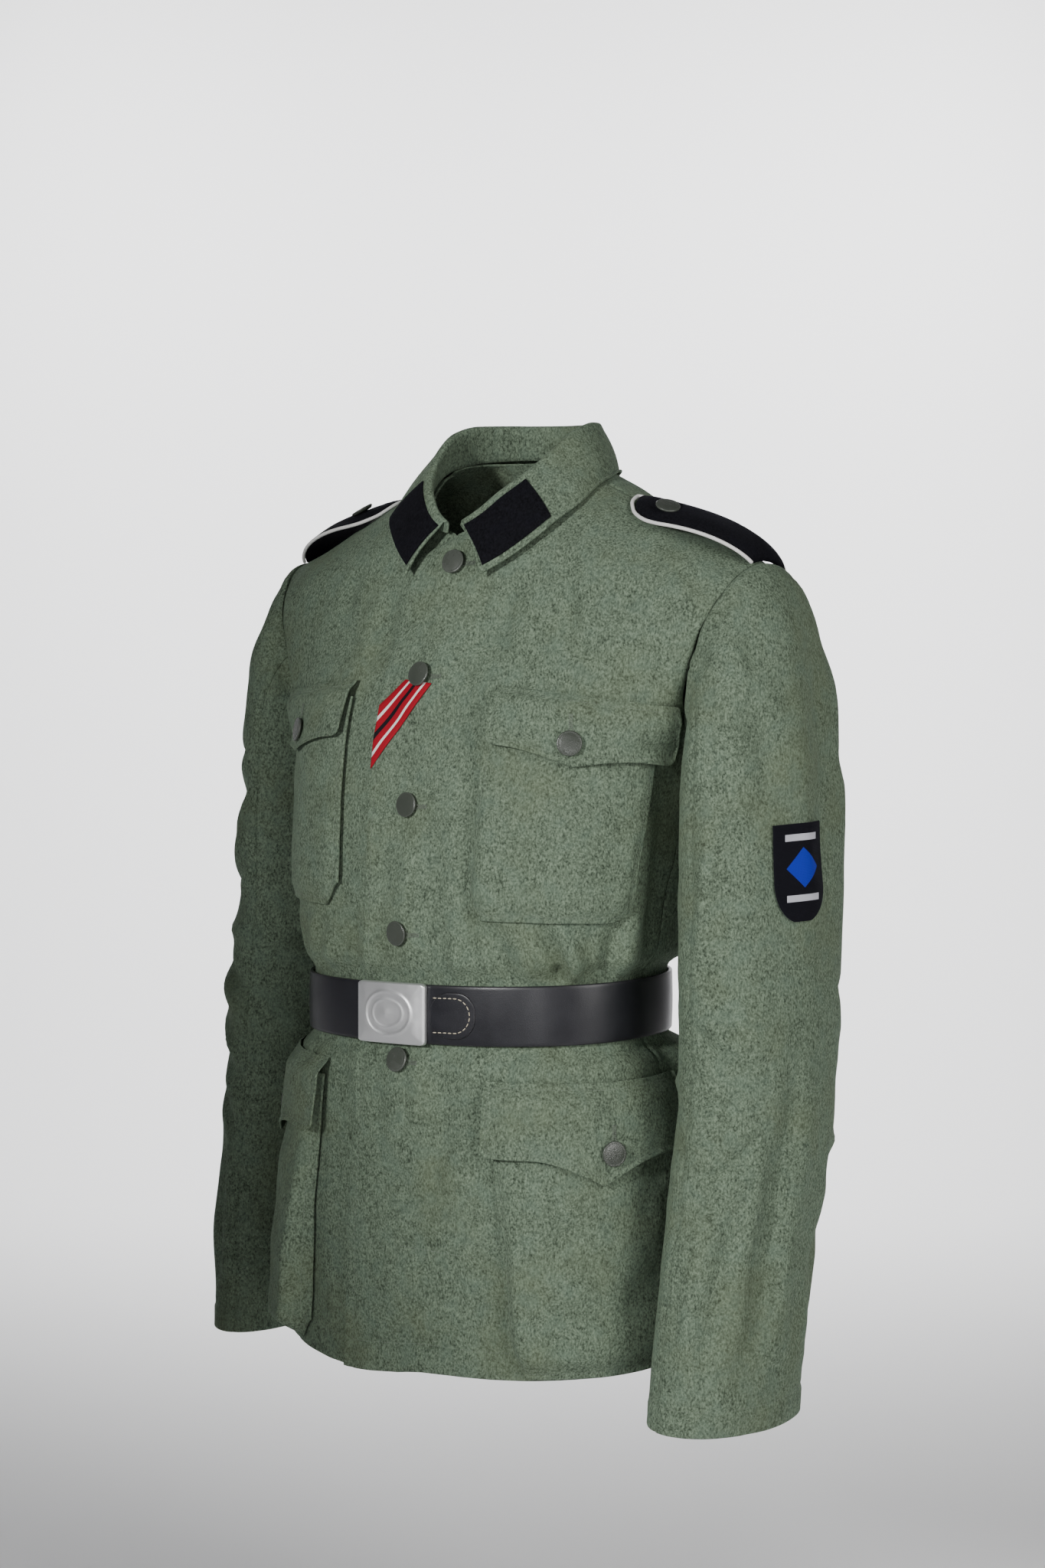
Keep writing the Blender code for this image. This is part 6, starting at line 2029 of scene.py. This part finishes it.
def addStage():
    rows = [(-6.0, stage["floor"]), (stage["wall"] - stage["bend"], stage["floor"])]
    for turn in np.radians(np.linspace(0, 90, 14))[1:]:
        y = stage["wall"] - stage["bend"] + stage["bend"] * math.sin(turn)
        rows.append((y, stage["floor"] + stage["bend"] * (1 - math.cos(turn))))
    rows.append((stage["wall"], 5.0))
    turned = Matrix.Rotation(math.radians(camera["azimuth"]), 3, "Z")
    vertices = [tuple(turned @ Vector((x, y, z))) for y, z in rows for x in (-7.0, 7.0)]
    faces = [(2 * n, 2 * n + 1, 2 * n + 3, 2 * n + 2) for n in range(len(rows) - 1)]
    material, _, shader = startMaterial("palePaper", 0.9)
    shader.inputs["Base Color"].default_value = stage["paint"]
    floor = addMesh("floor", vertices, faces, material)
    world = bpy.data.worlds.new("studio")
    bpy.context.scene.world = world
    world.use_nodes = True
    world.node_tree.nodes["Background"].inputs["Color"].default_value = stage["world"]
    world.node_tree.nodes["Background"].inputs["Strength"].default_value = stage["worldStrength"]


camera = {
    "azimuth": 37.81,  # degrees from the front towards the wearer's left
    "distance": 2.180,
    "focal": 63.18,
    "height": -0.0802,
    "pitch": 4.374,
    "shift": -0.0033,
    "roll": 0.234,
}


def addCamera():
    turn, pitch, roll = (math.radians(camera[key]) for key in ("azimuth", "pitch", "roll"))
    place = Vector(
        (
            camera["distance"] * math.sin(turn) + camera["shift"],
            -camera["distance"] * math.cos(turn),
            camera["height"]
        )
    )
    ahead = Vector((-math.sin(turn) * math.cos(pitch), math.cos(turn) * math.cos(pitch), -math.sin(pitch)))
    right = Vector((math.cos(turn), math.sin(turn), 0.0))
    above = right.cross(ahead)
    level = right * math.cos(roll) + above * math.sin(roll)
    above = above * math.cos(roll) - right * math.sin(roll)
    data = bpy.data.cameras.new("photographView")
    data.lens = camera["focal"]
    data.sensor_width = 36.0
    data.dof.use_dof = False
    view = bpy.data.objects.new("photographView", data)
    bpy.context.scene.collection.objects.link(view)
    turned = Matrix((level, above, -ahead)).transposed()
    view.matrix_world = Matrix.Translation(place) @ turned.to_4x4()
    bpy.context.scene.camera = view


# azimuth and elevation from the object, distance, width and height, power, colour, and where it aims
lights = {
    "key": (76, 17, 2.6, (0.8, 2.0), 38.0, (1.0, 0.99, 0.97), (0.0, -0.03, -0.32)),
    "glint": (30, 0, 2.2, (0.24, 1.0), 7.0, (1.0, 1.0, 1.0), (0.0, -0.15, -0.41)),
    "backdropLeft": (-166, 24, 2.3, (1.4, 1.4), 52.0, (1.0, 1.0, 1.0), (-2.9, 2.4, -0.8)),
    "backdropRight": (-118, 24, 2.3, (1.4, 1.4), 46.0, (1.0, 1.0, 1.0), (-1.4, 3.6, -0.8)),
}


def addLights():
    middle = Vector((0.0, -0.03, -0.32))
    for label, (azimuth, elevation, distance, size, power, colour, aim) in lights.items():
        turn, rise = math.radians(azimuth), math.radians(elevation)
        away = Vector((math.sin(turn) * math.cos(rise), -math.cos(turn) * math.cos(rise), math.sin(rise)))
        data = bpy.data.lights.new(label, "AREA")
        data.shape = "RECTANGLE"
        data.size, data.size_y = size
        data.energy = power
        data.color = colour
        light = bpy.data.objects.new(label, data)
        bpy.context.scene.collection.objects.link(light)
        place = middle + away * distance
        facing = (place - Vector(aim)).to_track_quat("Z", "Y")
        light.matrix_world = Matrix.Translation(place) @ facing.to_matrix().to_4x4()


frontSpot = {
    "place": (0.0, -2.62, 0.45),
    "aim": (0.93, -0.10, -0.02),
    "cone": 50.0,
    "blend": 0.10,
    "radius": 0.16,
    "power": 235.0
}


def addFrontSpot():  # its left edge falls just inside the far sleeve
    data = bpy.data.lights.new("front", "SPOT")
    data.energy = frontSpot["power"]
    data.spot_size = math.radians(frontSpot["cone"])
    data.spot_blend = frontSpot["blend"]
    data.shadow_soft_size = frontSpot["radius"]
    light = bpy.data.objects.new("front", data)
    bpy.context.scene.collection.objects.link(light)
    place = Vector(frontSpot["place"])
    turned = (place - Vector(frontSpot["aim"])).to_track_quat("Z", "Y").to_matrix().to_4x4()
    light.matrix_world = Matrix.Translation(place) @ turned


print("stage")
addFrontSpot()
addStage()
addCamera()
addLights()

triangles = {
    label: sum(len(face.vertices) - 2 for face in piece.data.polygons) for label, piece in made.items()
}
print("triangles", sum(triangles.values()), "most", max(triangles.items(), key=lambda item: item[1]))
